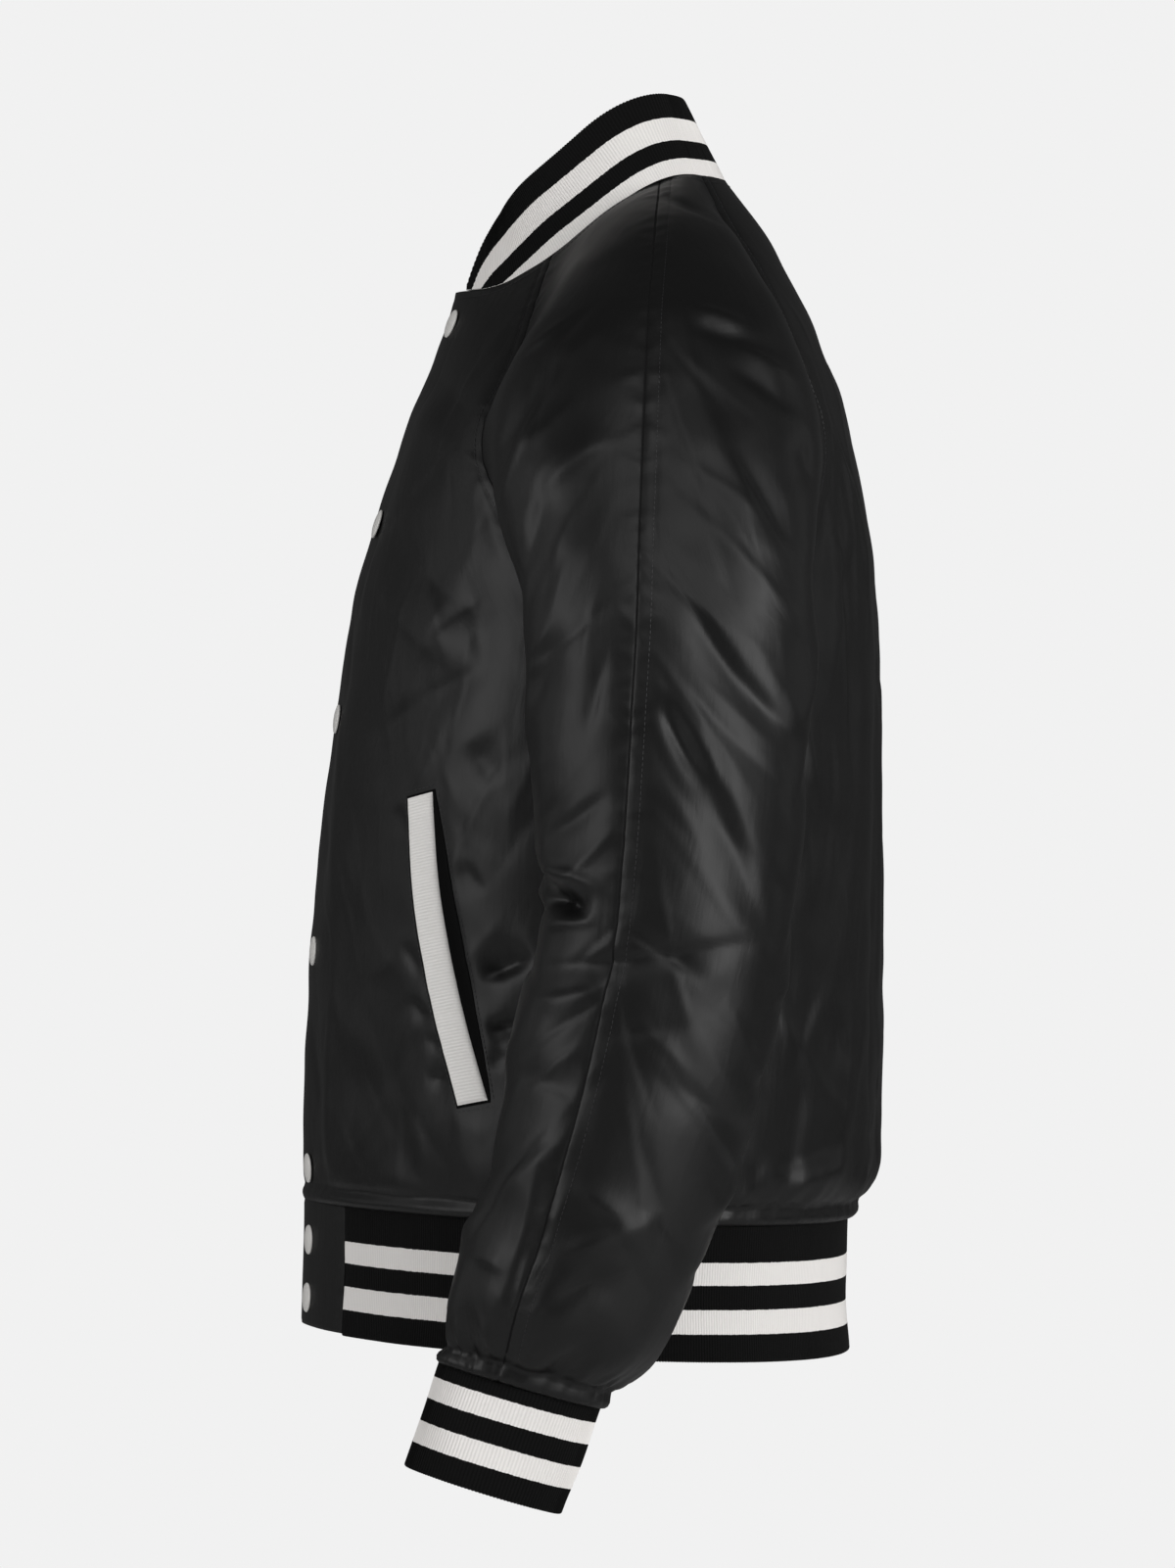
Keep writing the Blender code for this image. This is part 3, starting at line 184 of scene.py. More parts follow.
TUBE = Measures(
    "share centre_x centre_y centre_z half_width half_depth tilt outer_turn inner_turn",
    [
        (0.00, 0.2618, 0.0334, -0.2390, 0.0557, 0.0815, 5, 12.7, 18.9),
        (0.15, 0.2658, 0.0342, -0.3020, 0.0592, 0.0780, 4, 16.9, 17.5),
        (0.30, 0.2702, 0.0331, -0.3686, 0.0610, 0.0748, 3, 20.0, 16.0),
        (0.40, 0.2720, 0.0320, -0.4130, 0.0612, 0.0705, 6, 24.0, 15.0),
        (0.53, 0.2727, 0.0192, -0.4654, 0.0603, 0.0728, 17, 21.0, 15.0),
        (0.70, 0.2722, 0.0034, -0.5363, 0.0593, 0.0665, 16, 24.0, 15.0),
        (0.84, 0.2695, -0.0157, -0.5922, 0.0570, 0.0642, 16.5, 23.0, 15.0),
        (0.935, 0.2670, -0.0330, -0.6330, 0.0500, 0.0600, 16, 21.0, 15.0),
        (1.00, 0.2662, -0.0495, -0.6630, 0.0270, 0.0470, 16, 15.0, 15.0),
    ],
)
CUFF = Measures(
    "share centre_x centre_y centre_z half_width half_depth tilt",
    [
        (0.0, 0.2662, -0.0495, -0.6630, 0.0270, 0.0470, 16.0),
        (0.5, 0.2655, -0.0595, -0.6915, 0.0258, 0.0465, 16.6),
        (1.0, 0.2650, -0.0695, -0.7203, 0.0255, 0.0462, 17.3),
    ],
)
COLLAR = Measures(
    "arc height lean",
    [
        (0.031, 0.0036, 4),
        (0.037, 0.0145, 5),
        (0.045, 0.0272, 6),
        (0.054, 0.0350, 7),
        (0.073, 0.0434, 9),
        (0.100, 0.0495, 12),
        (0.150, 0.0505, 18),
        (0.200, 0.0515, 23),
        (0.260, 0.0530, 27),
    ],
)
ARM_LENGTH = 0.46
BODY_LENGTH = YOKE.at(9).front_z - HEM_FRONT_Z
print("body below the armpit, mm:", round(BODY_LENGTH * 1000))

# %% [markdown]
# ## Small tools for lines of points
# Everything below handles lines and grids of points as arrays. `unit` gives directions,
# `ease` gives soft starts and ends, and `along` walks along a line by distance, as a tape
# measure does.

# %% Lines and directions
def unit(vectors):
    """The same vectors with length one."""
    lengths = np.linalg.norm(vectors, axis=-1, keepdims=True)
    return vectors / np.maximum(lengths, 1e-9)


def ease(share):
    """Smooth step from 0 to 1."""
    share = np.clip(share, 0.0, 1.0)
    return share * share * (3 - 2 * share)


def arcs_of(line):
    """Distance along a line of points from its first one."""
    return np.concatenate([[0.0], np.cumsum(np.linalg.norm(np.diff(line, axis=0), axis=1))])


def along(line, arcs, wanted):
    """Points of the line at the wanted arcs."""
    return np.stack([np.interp(wanted, arcs, line[:, axis]) for axis in range(3)], axis=-1)


def resample(line, shares):
    """Points of the line at shares of its length."""
    arcs = arcs_of(line)
    return along(line, arcs, np.asarray(shares) * arcs[-1])


def mirrored(grid):
    """The grid on the other side of the body, its columns still running the right way."""
    return grid[:, ::-1] * np.array([-1.0, 1.0, 1.0])


# %% [markdown]
# ## Rings of the body
# Each level of the body is a closed ring, seen from above as a rounded box: a
# superellipse, whose roundness the tables give. Arcs are measured from centre front, so the
# lap, the snaps and the pocket can be placed as a tailor would, with a tape round the body.

# %% Body rings
FRONT_START_TURN, START_POINTS, RING_POINTS = -0.6, 60, 240
RISE_START, RISE_SPAN = 0.08, 0.80


def body_ring(level):
    """The ring at a level: 0 to 9 are yoke rows, 9 to 10 run down to the hem seam."""
    if level <= 9:
        return YOKE.at(level)
    share = level - 9
    ring = BODY.at(share)
    ring.front_z = YOKE.at(9).front_z - BODY_LENGTH * share
    ring.back_z = YOKE.at(9).back_z + (HEM_BACK_Z - YOKE.at(9).back_z) * share
    ring.front_half = ring.back_half = ring.half
    ring.front_seam_y = ring.back_seam_y = ring.side_y
    return ring


def ring_height(ring, y):
    """Height of the ring where it passes y: a yoke ring's rise comes beside the neck."""
    share = (y - ring.front_y) / (ring.back_y - ring.front_y)
    if ring.back_z > ring.front_z:
        share = ease((share - RISE_START) / RISE_SPAN)
    return ring.front_z + (ring.back_z - ring.front_z) * share


def front_line(ring):
    """Points from a little past centre front to the widest point, and their arcs."""
    past = np.linspace(FRONT_START_TURN, 0, START_POINTS)[:-1]
    turn = np.concatenate([past, np.linspace(0, math.pi / 2, RING_POINTS)])
    x = ring.front_half * np.sign(turn) * np.abs(np.sin(turn)) ** (2 / ring.front_round)
    y = ring.side_y - (ring.side_y - ring.front_y) * np.cos(turn) ** (2 / ring.front_round)
    line = np.stack([x, y, ring_height(ring, y)], axis=1)
    arcs = arcs_of(line)
    return line, arcs - arcs[START_POINTS - 1]


def back_line(ring):
    """Points from centre back to the widest point, and their arcs."""
    turn = np.linspace(0, math.pi / 2, RING_POINTS)
    x = ring.back_half * np.sin(turn) ** (2 / ring.back_round)
    y = ring.side_y + (ring.back_y - ring.side_y) * np.cos(turn) ** (2 / ring.back_round)
    line = np.stack([x, y, ring_height(ring, y)], axis=1)
    return line, arcs_of(line)


def half_ring(ring):
    """The ring's left half from centre front to centre back, and its arcs."""
    front, arcs = front_line(ring)
    back, _ = back_line(ring)
    line = np.vstack([front, back[::-1][1:]])
    return line, arcs_of(line) + arcs[0]


# %% [markdown]
# ## How fine the cloth is
# Creases in satin are only a few millimetres wide, so the grid's points lie two or three
# millimetres apart. Two extra columns beside every seam let the cloth dip sharply into it.

# %% Rows and columns of the panels
YOKE_ROWS, BODY_ROWS, ARM_ROWS, ROLL_ROWS = 118, 138, 184, 9
FIRST, LAST = 0, -1
FRONT_COLUMNS, BACK_COLUMNS, SLEEVE_COLUMNS = 128, 200, 98
ROLL_START = 1.7
SEAM_STEPS = (0.0, 0.0007, 0.0018)


def spaced(start, end, count):
    """Distances from start to end, with close ones beside both ends."""
    lead = np.array(SEAM_STEPS)
    middle = np.linspace(start + lead[-1], end - lead[-1], count - 3)[1:-1]
    return np.concatenate([start + lead, middle, end - lead[::-1]])


def rows_to_roll(count, length):
    """Shares down a panel that ends in a rolled edge, closer together on the roll."""
    roll = ROLL_START * ROLL_HEIGHT / length
    above = np.linspace(0, 1 - roll, count + 1)[:-1]
    return np.concatenate([above, np.linspace(1 - roll, 1, ROLL_ROWS + 1)])


yoke_levels = np.linspace(0, 9, YOKE_ROWS + 1)
body_levels = np.concatenate([yoke_levels[:-1], 9 + rows_to_roll(BODY_ROWS, BODY_LENGTH)])
arm_shares = rows_to_roll(ARM_ROWS, ARM_LENGTH)
print("rows of a front:", len(body_levels), "rows of a sleeve:", YOKE_ROWS + len(arm_shares))


# %% Fronts and back
def front_grid(edge_arc):
    """A front from its free edge to the raglan or side seam, with the arc of each point."""
    grid, arcs = [], []
    for level in body_levels:
        ring = body_ring(level)
        line, line_arcs = front_line(ring)
        own = slice(START_POINTS - 1, None)
        end = np.interp(ring.front_seam_y, line[own, 1], line_arcs[own])
        row = spaced(edge_arc, end, FRONT_COLUMNS)
        grid.append(along(line, line_arcs, row))
        arcs.append(row)
    return np.array(grid), np.array(arcs)


def back_grid():
    """The back from the left seam round centre back to the right seam."""
    grid = []
    for level in body_levels:
        ring = body_ring(level)
        line, line_arcs = back_line(ring)
        end = np.interp(-ring.back_seam_y, -line[:, 1], line_arcs)
        places = spaced(-end, end, BACK_COLUMNS)
        row = along(line, line_arcs, np.abs(places))
        row[:, 0] *= -np.sign(places)
        grid.append(row)
    return np.array(grid)


# %% [markdown]
# ## Sleeves
# Above the armpit a sleeve is an open arch between the two raglan seams, drawn through five
# points of the table. Below it is a tube whose sections lean as the elbow bends. The two
# meet at the armpit, where the arch is eased into the tube over the last rows.

# %% Sleeve sections
SECTION_POINTS, TUBE_POINTS, NECK_POINTS, HALF_POINTS = 40, 90, 80, 300
ARMPIT_REACH, ARMPIT_FADE, CAP_EASE_ROWS = 0.022, 0.045, 1.6


def section(points, leave, meet):
    """A smooth curve through a section's five points, as its front and its rear half."""
    points = np.array(points)
    chords = np.diff(points, axis=0)
    sizes = np.linalg.norm(chords, axis=1)[:, None]
    ways = chords / sizes
    inner = unit(sizes[1:] * ways[:-1] + sizes[:-1] * ways[1:])
    tangents = np.vstack([leave, inner, meet])
    t = np.linspace(0, 1, SECTION_POINTS)[:, None]
    pieces = []
    for k in range(4):
        turn = math.acos(float(np.clip(tangents[k] @ tangents[k + 1], -1, 1)))
        handle = sizes[k, 0] / (3 * math.cos(turn / 4) ** 2)
        first = points[k] + tangents[k] * handle
        second = points[k + 1] - tangents[k + 1] * handle
        curve = (1 - t) ** 3 * points[k] + 3 * t * (1 - t) ** 2 * first
        pieces.append(curve + 3 * t * t * (1 - t) * second + t**3 * points[k + 1])
    return np.vstack([pieces[0], pieces[1][1:]]), np.vstack([pieces[2], pieces[3][1:]])


def heading(degrees, start, end):
    """A unit direction with this compass heading and the rise between two points."""
    reach = math.hypot(end[0] - start[0], end[1] - start[1])
    angle = math.radians(degrees)
    return unit(np.array([math.cos(angle), math.sin(angle), (end[2] - start[2]) / reach]))


def neck_halves():
    """The neck seam over the shoulder, as the sleeve's front and rear half."""
    line, arcs = half_ring(body_ring(0))
    ends = [YOKE.at(0).front_seam_y, CAP.at(0).crown_y, YOKE.at(0).back_seam_y]
    stops = np.interp(ends, line[START_POINTS:, 1], arcs[START_POINTS:])
    return [along(line, arcs, np.linspace(*pair, NECK_POINTS)) for pair in zip(stops, stops[1:])]


def cap_section(row):
    """The two halves of the upper sleeve's section at a yoke row."""
    ring, cap = YOKE.at(row), CAP.at(row)
    front, arcs = front_line(ring)
    own = slice(START_POINTS - 1, None)
    seam_front = along(front, arcs, np.interp(ring.front_seam_y, front[own, 1], arcs[own]))
    back, back_arcs = back_line(ring)
    seam_back = along(back, back_arcs, np.interp(-ring.back_seam_y, -back[:, 1], back_arcs))
    middle = (cap.front_x, cap.front_y, cap.front_z)
    crown = (cap.crown_x, cap.crown_y, cap.crown_z)
    rear = (cap.rear_x, cap.rear_y, cap.rear_z)
    leave = heading(cap.leave, seam_front, middle)
    meet = heading(cap.meet, rear, seam_back)
    return section([seam_front, middle, crown, rear, seam_back], leave, meet)


def around(part, degrees):
    """Points of an elliptical section, at angles from its outer side towards the back."""
    angle, tilt = np.radians(degrees), math.radians(part.tilt)
    across = part.half_depth * np.sin(angle)
    x = part.centre_x + part.half_width * np.cos(angle)
    y = part.centre_y + across * math.cos(tilt)
    return np.stack([x, y, part.centre_z - across * math.sin(tilt)], axis=-1)


def tube_section(share):
    """The two halves of the lower sleeve's section, from the underarm seam and back to it."""
    part = TUBE.at(share)
    inner = 180 + part.inner_turn
    turns = ((inner, 360 - part.outer_turn), (-part.outer_turn, inner))
    halves = [around(part, np.linspace(*pair, TUBE_POINTS)) for pair in turns]
    ring = YOKE.at(9)
    armpit = np.array([ring.front_half, ring.side_y, ring.front_z])
    pull = (armpit - halves[0][0]) * ease(1 - share / ARMPIT_FADE)
    halves[0] += pull * ease(1 - arcs_of(halves[0]) / ARMPIT_REACH)[:, None]
    halves[1] += pull * ease(1 - arcs_of(halves[1][::-1]) / ARMPIT_REACH)[::-1, None]
    return halves


# %% Sleeve grids
def sleeve_grids():
    """Front and rear halves of the left sleeve, each sharing its seams with its neighbours."""
    shares = np.linspace(0, 1, HALF_POINTS)
    neck = [resample(half, shares) for half in neck_halves()]
    first = [resample(half, shares) for half in cap_section(1)]
    last = [resample(half, shares) for half in cap_section(9)]
    join = [resample(half, shares) for half in tube_section(0)]
    rows = []
    for level in yoke_levels[:-1]:
        halves = [resample(half, shares) for half in cap_section(level)]
        down = ease((level - 9 + CAP_EASE_ROWS) / CAP_EASE_ROWS)
        for k in (0, 1):
            if level < 1:
                ruled = neck[k] * (1 - level) + first[k] * level
                halves[k] = ruled * (1 - level) + halves[k] * level
            halves[k] = halves[k] + (join[k] - last[k]) * down
        rows.append(halves)
    rows += [tube_section(share) for share in arm_shares]
    grids = []
    for k in (0, 1):
        grid = []
        for row in rows:
            arcs = arcs_of(row[k])
            grid.append(along(row[k], arcs, spaced(0, arcs[-1], SLEEVE_COLUMNS)))
        grids.append(np.array(grid))
    return grids


def swung(grid):
    """The right sleeve or cuff with its lower arm a little further back."""
    top, cuff = YOKE.at(9).back_z, CUFF.at(0).centre_z
    share = np.clip((top - grid[..., 2]) / (top - cuff), 0, None)
    return grid + np.stack([0 * share, RIGHT_SWING * share**2, 0 * share], axis=-1)


left_front, left_arcs = front_grid(LEFT_EDGE_ARC)
right_front, right_arcs = front_grid(RIGHT_EDGE_ARC)
sleeve_front, sleeve_back = sleeve_grids()
bare = {
    "front_left": left_front,
    "front_right": mirrored(right_front),
    "back": back_grid(),
    "sleeve_left_front": sleeve_front,
    "sleeve_left_back": sleeve_back,
    "sleeve_right_front": swung(mirrored(sleeve_front)),
    "sleeve_right_back": swung(mirrored(sleeve_back)),
}
for name, grid in bare.items():
    print(name, "rows and columns:", grid.shape[:2])

# %% [markdown]
# The tables of the yoke and of the body meet at the armpit with a faint bend, which glossy
# cloth would show as a line right round the jacket. The grids are ironed: each point moves
# towards the average of those above and below it, except beside the raglan and side seams,
# which turn a real corner at the armpit.

# %% Iron the plain forms
IRON_ROWS, IRON_CLEAR = 9, 0.035
CORNER_SIDES = {
    "front_left": (LAST,),
    "front_right": (FIRST,),
    "back": (FIRST, LAST),
    "sleeve_left_front": (FIRST,),
    "sleeve_left_back": (LAST,),
    "sleeve_right_front": (LAST,),
    "sleeve_right_back": (FIRST,),
}


def ironed(grid, corner_sides):
    """The grid averaged down its columns, apart from its ends and its cornered edges."""
    weights = np.exp(-((np.arange(-2 * IRON_ROWS, 2 * IRON_ROWS + 1) / IRON_ROWS) ** 2))
    weights /= weights.sum()
    ends = 2 * IRON_ROWS
    smooth = np.zeros_like(grid[ends:-ends])
    for k, weight in enumerate(weights):
        smooth += weight * grid[k : k + len(smooth)]
    steps = np.linalg.norm(np.diff(grid, axis=1), axis=-1)
    run = np.concatenate([np.zeros((len(grid), 1)), np.cumsum(steps, axis=1)], axis=1)
    free = np.ones(grid.shape[:2])
    for side in corner_sides:
        free *= ease(np.abs(run - run[:, [side]]) / IRON_CLEAR)
    rows = np.arange(len(grid))
    inside = ease((np.minimum(rows, len(grid) - 1 - rows - ROLL_ROWS) - ends) / ends)
    free = (free * inside[:, None])[ends:-ends, :, None]
    made = grid.copy()
    made[ends:-ends] += (smooth - grid[ends:-ends]) * free
    return made


bare = {name: ironed(grid, CORNER_SIDES[name]) for name, grid in bare.items()}

# %% [markdown]
# ## Which way the cloth faces
# A crease pushes the cloth out or in along its normal, at right angles to the surface. Two
# panels that are sewn together share the same normals along their seam, so that they still
# meet after each has been moved.

# %% Normals shared along the seams
def grid_normals(grid, wrap=False):
    """Unit normals of one grid, out of the cloth's outer face."""
    down = np.gradient(grid, axis=0)
    if wrap:
        run = np.roll(grid, -1, axis=1) - np.roll(grid, 1, axis=1)
    else:
        run = np.gradient(grid, axis=1)
    return unit(np.cross(down, run))


normals = {name: grid_normals(grid) for name, grid in bare.items()}
YOKE_PART, BELOW_ARMPIT, WHOLE = slice(0, YOKE_ROWS + 1), slice(YOKE_ROWS, None), slice(None)


def sew(one, one_side, other, other_side, rows):
    """Gives two panels the same normals along a seam."""
    shared = unit(normals[one][rows, one_side] + normals[other][rows, other_side])
    normals[one][rows, one_side] = shared
    normals[other][rows, other_side] = shared


sew("front_left", LAST, "sleeve_left_front", FIRST, YOKE_PART)
sew("back", FIRST, "sleeve_left_back", LAST, YOKE_PART)
sew("front_right", FIRST, "sleeve_right_front", LAST, YOKE_PART)
sew("back", LAST, "sleeve_right_back", FIRST, YOKE_PART)
sew("front_left", LAST, "back", FIRST, BELOW_ARMPIT)
sew("front_right", FIRST, "back", LAST, BELOW_ARMPIT)
sew("sleeve_left_front", LAST, "sleeve_left_back", FIRST, WHOLE)
sew("sleeve_right_back", LAST, "sleeve_right_front", FIRST, WHOLE)
sew("sleeve_left_front", FIRST, "sleeve_left_back", LAST, BELOW_ARMPIT)
sew("sleeve_right_back", FIRST, "sleeve_right_front", LAST, BELOW_ARMPIT)

# %% [markdown]
# ## Creases
# Each crease is one line of a table: where it starts and ends in a side view or a front view
# of the jacket, how far it bows sideways, its width, and how far it stands out (a ridge) or
# sinks in (a trough). The cloth rises to a rounded edge and falls away in long flanks, one
# steeper than the other, which is what separates satin from rubber. It dies away at its ends,
# so each line is drawn about a fifth longer at both ends than its table says.

# %% The crease tool
CREASE_STEPS, CREASE_REACH, CREASE_SKEW, CREASE_TAPER = 9, 3.2, 0.35, 0.42
ADDED_LENGTH, WIDTH_SHARE, DEPTH_SHARE = 0.22, 0.95, 1.05
FLANK_POWER, LEAST_FACING = -1.5, 0.01
FLANK_FLOOR = (1 + CREASE_REACH**2) ** FLANK_POWER


def creases(table, across, heights, facing):
    """How far the creases of a table move each point, seen in one flat view.

    A row holds from_across, from_z, to_across, to_z, bow, width and depth.
    """
    total = np.zeros(across.shape)
    t = np.linspace(0, 1, CREASE_STEPS)[:, None]
    for number, (*ends, bow, width, depth) in enumerate(table):
        width, depth = width * WIDTH_SHARE, depth * DEPTH_SHARE
        reach = CREASE_REACH * width + abs(bow)
        start, end = np.array(ends[:2]), np.array(ends[2:])
        spare = (end - start) * ADDED_LENGTH
        start, end = start - spare, end + spare
        low, high = np.minimum(start, end) - reach, np.maximum(start, end) + reach
        near = (across > low[0]) & (across < high[0]) & (facing > LEAST_FACING)
        near = near & (heights > low[1]) & (heights < high[1])
        place = np.stack([across[near], heights[near]], axis=-1)
        side = np.array([start[1] - end[1], end[0] - start[0]]) / np.linalg.norm(end - start)
        line = start + (end - start) * t + side * bow * 4 * t * (1 - t)
        nearest = np.full(len(place), np.inf)
        lean, run = np.zeros(len(place)), np.zeros(len(place))
        for k, (a, b) in enumerate(zip(line[:-1], line[1:])):
            step = b - a
            share = np.clip(((place - a) @ step) / (step @ step), 0, 1)
            off = place - (a + share[:, None] * step)
            gap = np.linalg.norm(off, axis=-1)
            closer = gap < nearest
            nearest = np.where(closer, gap, nearest)
            lean = np.where(closer, np.sign(step[0] * off[:, 1] - step[1] * off[:, 0]), lean)
            run = np.where(closer, (k + share) / (CREASE_STEPS - 1), run)
        skew = CREASE_SKEW if number % 2 else -CREASE_SKEW
        flank = (1 + (nearest / (width * (1 + skew * lean))) ** 2) ** FLANK_POWER
        flank = np.clip(flank - FLANK_FLOOR, 0, None) / (1 - FLANK_FLOOR)
        total[near] += depth * flank * ease(run / CREASE_TAPER) * ease((1 - run) / CREASE_TAPER)
    return total * facing


END_SHIFT = 0.6
SMALL_LEAN, SMALL_BOW, SMALL_WIDTHS = 26, 0.006, (0.0028, 0.0065)


def altered(table, seed, shift=0.012, change=0.25):
    """The same creases as another sleeve or side would have them: moved, longer or softer."""
    chance = np.random.default_rng(seed)
    rows = np.array(table, float)
    rows[:, [0, 2]] += chance.uniform(-shift, shift, (len(rows), 1))
    rows[:, [1, 3]] += chance.uniform(-shift, shift, (len(rows), 1))
    rows[:, [2, 3]] += chance.uniform(-shift, shift, (len(rows), 2)) * END_SHIFT
    rows[:, 4:] *= chance.uniform(1 - change, 1 + change, (len(rows), 3))
    return rows


def small_creases(seed, count, across, heights, lean, length, depth):
    """A table of short faint creases, spread at random over an area, all leaning one way."""
    chance = np.random.default_rng(seed)
    rows = []
    for _ in range(count):
        start = np.array([chance.uniform(*across), chance.uniform(*heights)])
        angle = math.radians(lean + chance.uniform(-SMALL_LEAN, SMALL_LEAN))
        end = start + np.array([math.sin(angle), -math.cos(angle)]) * chance.uniform(*length)
        width, bow = chance.uniform(*SMALL_WIDTHS), chance.uniform(-SMALL_BOW, SMALL_BOW)
        rows.append((*start, *end, bow, width, depth * chance.uniform(-1, 1)))
    return rows


# %% [markdown]
# The columns of the tables are where the crease starts (across, z), where it ends (across,
# z), its bow, its width and its depth. The left sleeve is the part that the photograph shows
# best. Long creases hang from the back of the armpit, the inside of the elbow is pinched into
# a pocket with a lip above and below, and short folds stack up above the cuff where the
# sleeve is longer than the arm.

# %% Creases of the sleeves, side view (y, z)
ARM_CREASES = [
    (-0.0604, -0.1448, -0.0255, -0.0894, 0.004, 0.0070, -0.0022),
    (-0.0515, -0.1448, -0.0199, -0.0922, 0.004, 0.0060, 0.0016),
    (-0.0485, -0.2121, -0.0353, -0.1610, 0.000, 0.0075, -0.0022),
    (-0.0350, -0.1658, 0.0015, -0.1385, 0.004, 0.0090, 0.0026),
    (0.0511, -0.1222, 0.0816, -0.1865, 0.004, 0.0130, 0.0030),
    (0.0655, -0.1425, 0.1043, -0.2020, 0.004, 0.0090, -0.0032),
    (0.0474, -0.2265, 0.1037, -0.2994, -0.006, 0.0095, -0.0048),
    (0.0299, -0.2868, 0.0487, -0.3250, 0.000, 0.0065, -0.0035),
    (0.0505, -0.3250, 0.0807, -0.4022, 0.004, 0.0100, -0.0026),
    (0.0283, -0.2728, 0.0789, -0.3644, 0.004, 0.0115, 0.0034),
    (-0.0464, -0.2864, -0.0301, -0.2385, 0.000, 0.0080, -0.0030),
    (-0.0127, -0.2996, -0.0019, -0.2581, 0.000, 0.0065, -0.0018),
    (-0.0349, -0.3580, -0.0019, -0.3342, 0.000, 0.0065, -0.0024),
    (-0.0420, -0.3895, -0.0150, -0.3990, 0.000, 0.0072, -0.0115),
    (-0.0430, -0.3770, -0.0080, -0.3860, 0.004, 0.0065, 0.0042),
    (-0.0360, -0.4080, -0.0080, -0.4040, 0.002, 0.0060, 0.0026),
    (-0.0440, -0.4276, 0.0744, -0.4137, -0.004, 0.0090, -0.0034),
    (0.0077, -0.4067, 0.0486, -0.4320, 0.000, 0.0070, -0.0024),
    (-0.0408, -0.4465, -0.0050, -0.4390, -0.003, 0.0080, 0.0025),
    (0.0018, -0.4653, 0.0432, -0.4599, 0.000, 0.0090, -0.0020),
    (-0.0640, -0.5572, -0.0229, -0.5232, 0.000, 0.0100, 0.0030),
    (-0.0137, -0.5508, 0.0094, -0.5685, 0.000, 0.0080, 0.0020),
    (-0.0245, -0.5852, 0.0256, -0.5675, 0.000, 0.0100, 0.0030),
    (-0.0749, -0.5865, -0.0571, -0.5957, 0.000, 0.0080, 0.0020),
    (-0.0016, -0.0709, -0.0292, -0.0910, 0.000, 0.0120, 0.0016),
    (-0.0550, -0.4900, -0.0150, -0.5010, 0.003, 0.0090, -0.0018),
    (-0.0300, -0.6100, 0.0100, -0.5960, 0.000, 0.0080, -0.0022),
]
SHOULDER_CREASES = [
    (0.0459, -0.0587, 0.0872, -0.0732, 0.000, 0.0055, 0.0018),
    (0.0491, -0.0738, 0.0981, -0.0872, 0.002, 0.0055, -0.0016),
    (0.0738, -0.0816, 0.1034, -0.0995, 0.000, 0.0060, 0.0020),
    (0.0699, -0.0960, 0.1059, -0.1221, 0.002, 0.0070, -0.0024),
    (0.1092, -0.1354, 0.1142, -0.1598, 0.000, 0.0060, -0.0028),
    (0.0490, -0.0641, 0.0743, -0.0717, 0.000, 0.0080, 0.0016),
    (0.0295, 0.0146, 0.0577, 0.0018, 0.000, 0.0045, -0.0010),
    (0.0346, 0.0095, 0.0731, -0.0085, 0.000, 0.0045, -0.0010),
]
ARM_FRONT_CREASES = [
    (0.230, -0.372, 0.300, -0.386, 0.004, 0.0090, -0.0042),
    (0.226, -0.398, 0.292, -0.392, -0.004, 0.0080, -0.0036),
    (0.232, -0.385, 0.280, -0.390, 0.000, 0.0080, 0.0028),
    (0.235, -0.425, 0.300, -0.440, 0.004, 0.0090, -0.0026),
    (0.232, -0.300, 0.262, -0.210, 0.006, 0.0100, -0.0028),
    (0.250, -0.330, 0.292, -0.250, 0.004, 0.0110, 0.0024),
    (0.236, -0.590, 0.290, -0.566, 0.000, 0.0090, 0.0028),
    (0.240, -0.560, 0.300, -0.540, 0.003, 0.0090, -0.0024),
    (0.245, -0.500, 0.290, -0.470, 0.003, 0.0100, 0.0018),
]
ARM_REAR_CREASES = [
    (0.225, -0.225, 0.285, -0.330, -0.008, 0.0110, -0.0046),
    (0.232, -0.205, 0.300, -0.300, -0.006, 0.0120, 0.0032),
    (0.236, -0.330, 0.290, -0.420, -0.006, 0.0100, -0.0030),
    (0.228, -0.440, 0.300, -0.452, 0.006, 0.0100, 0.0024),
    (0.230, -0.480, 0.296, -0.500, 0.004, 0.0090, -0.0026),
    (0.236, -0.540, 0.300, -0.572, 0.004, 0.0100, 0.0026),
    (0.234, -0.590, 0.286, -0.604, 0.002, 0.0090, -0.0026),
    (0.215, -0.170, 0.232, -0.250, 0.000, 0.0110, -0.0026),
]

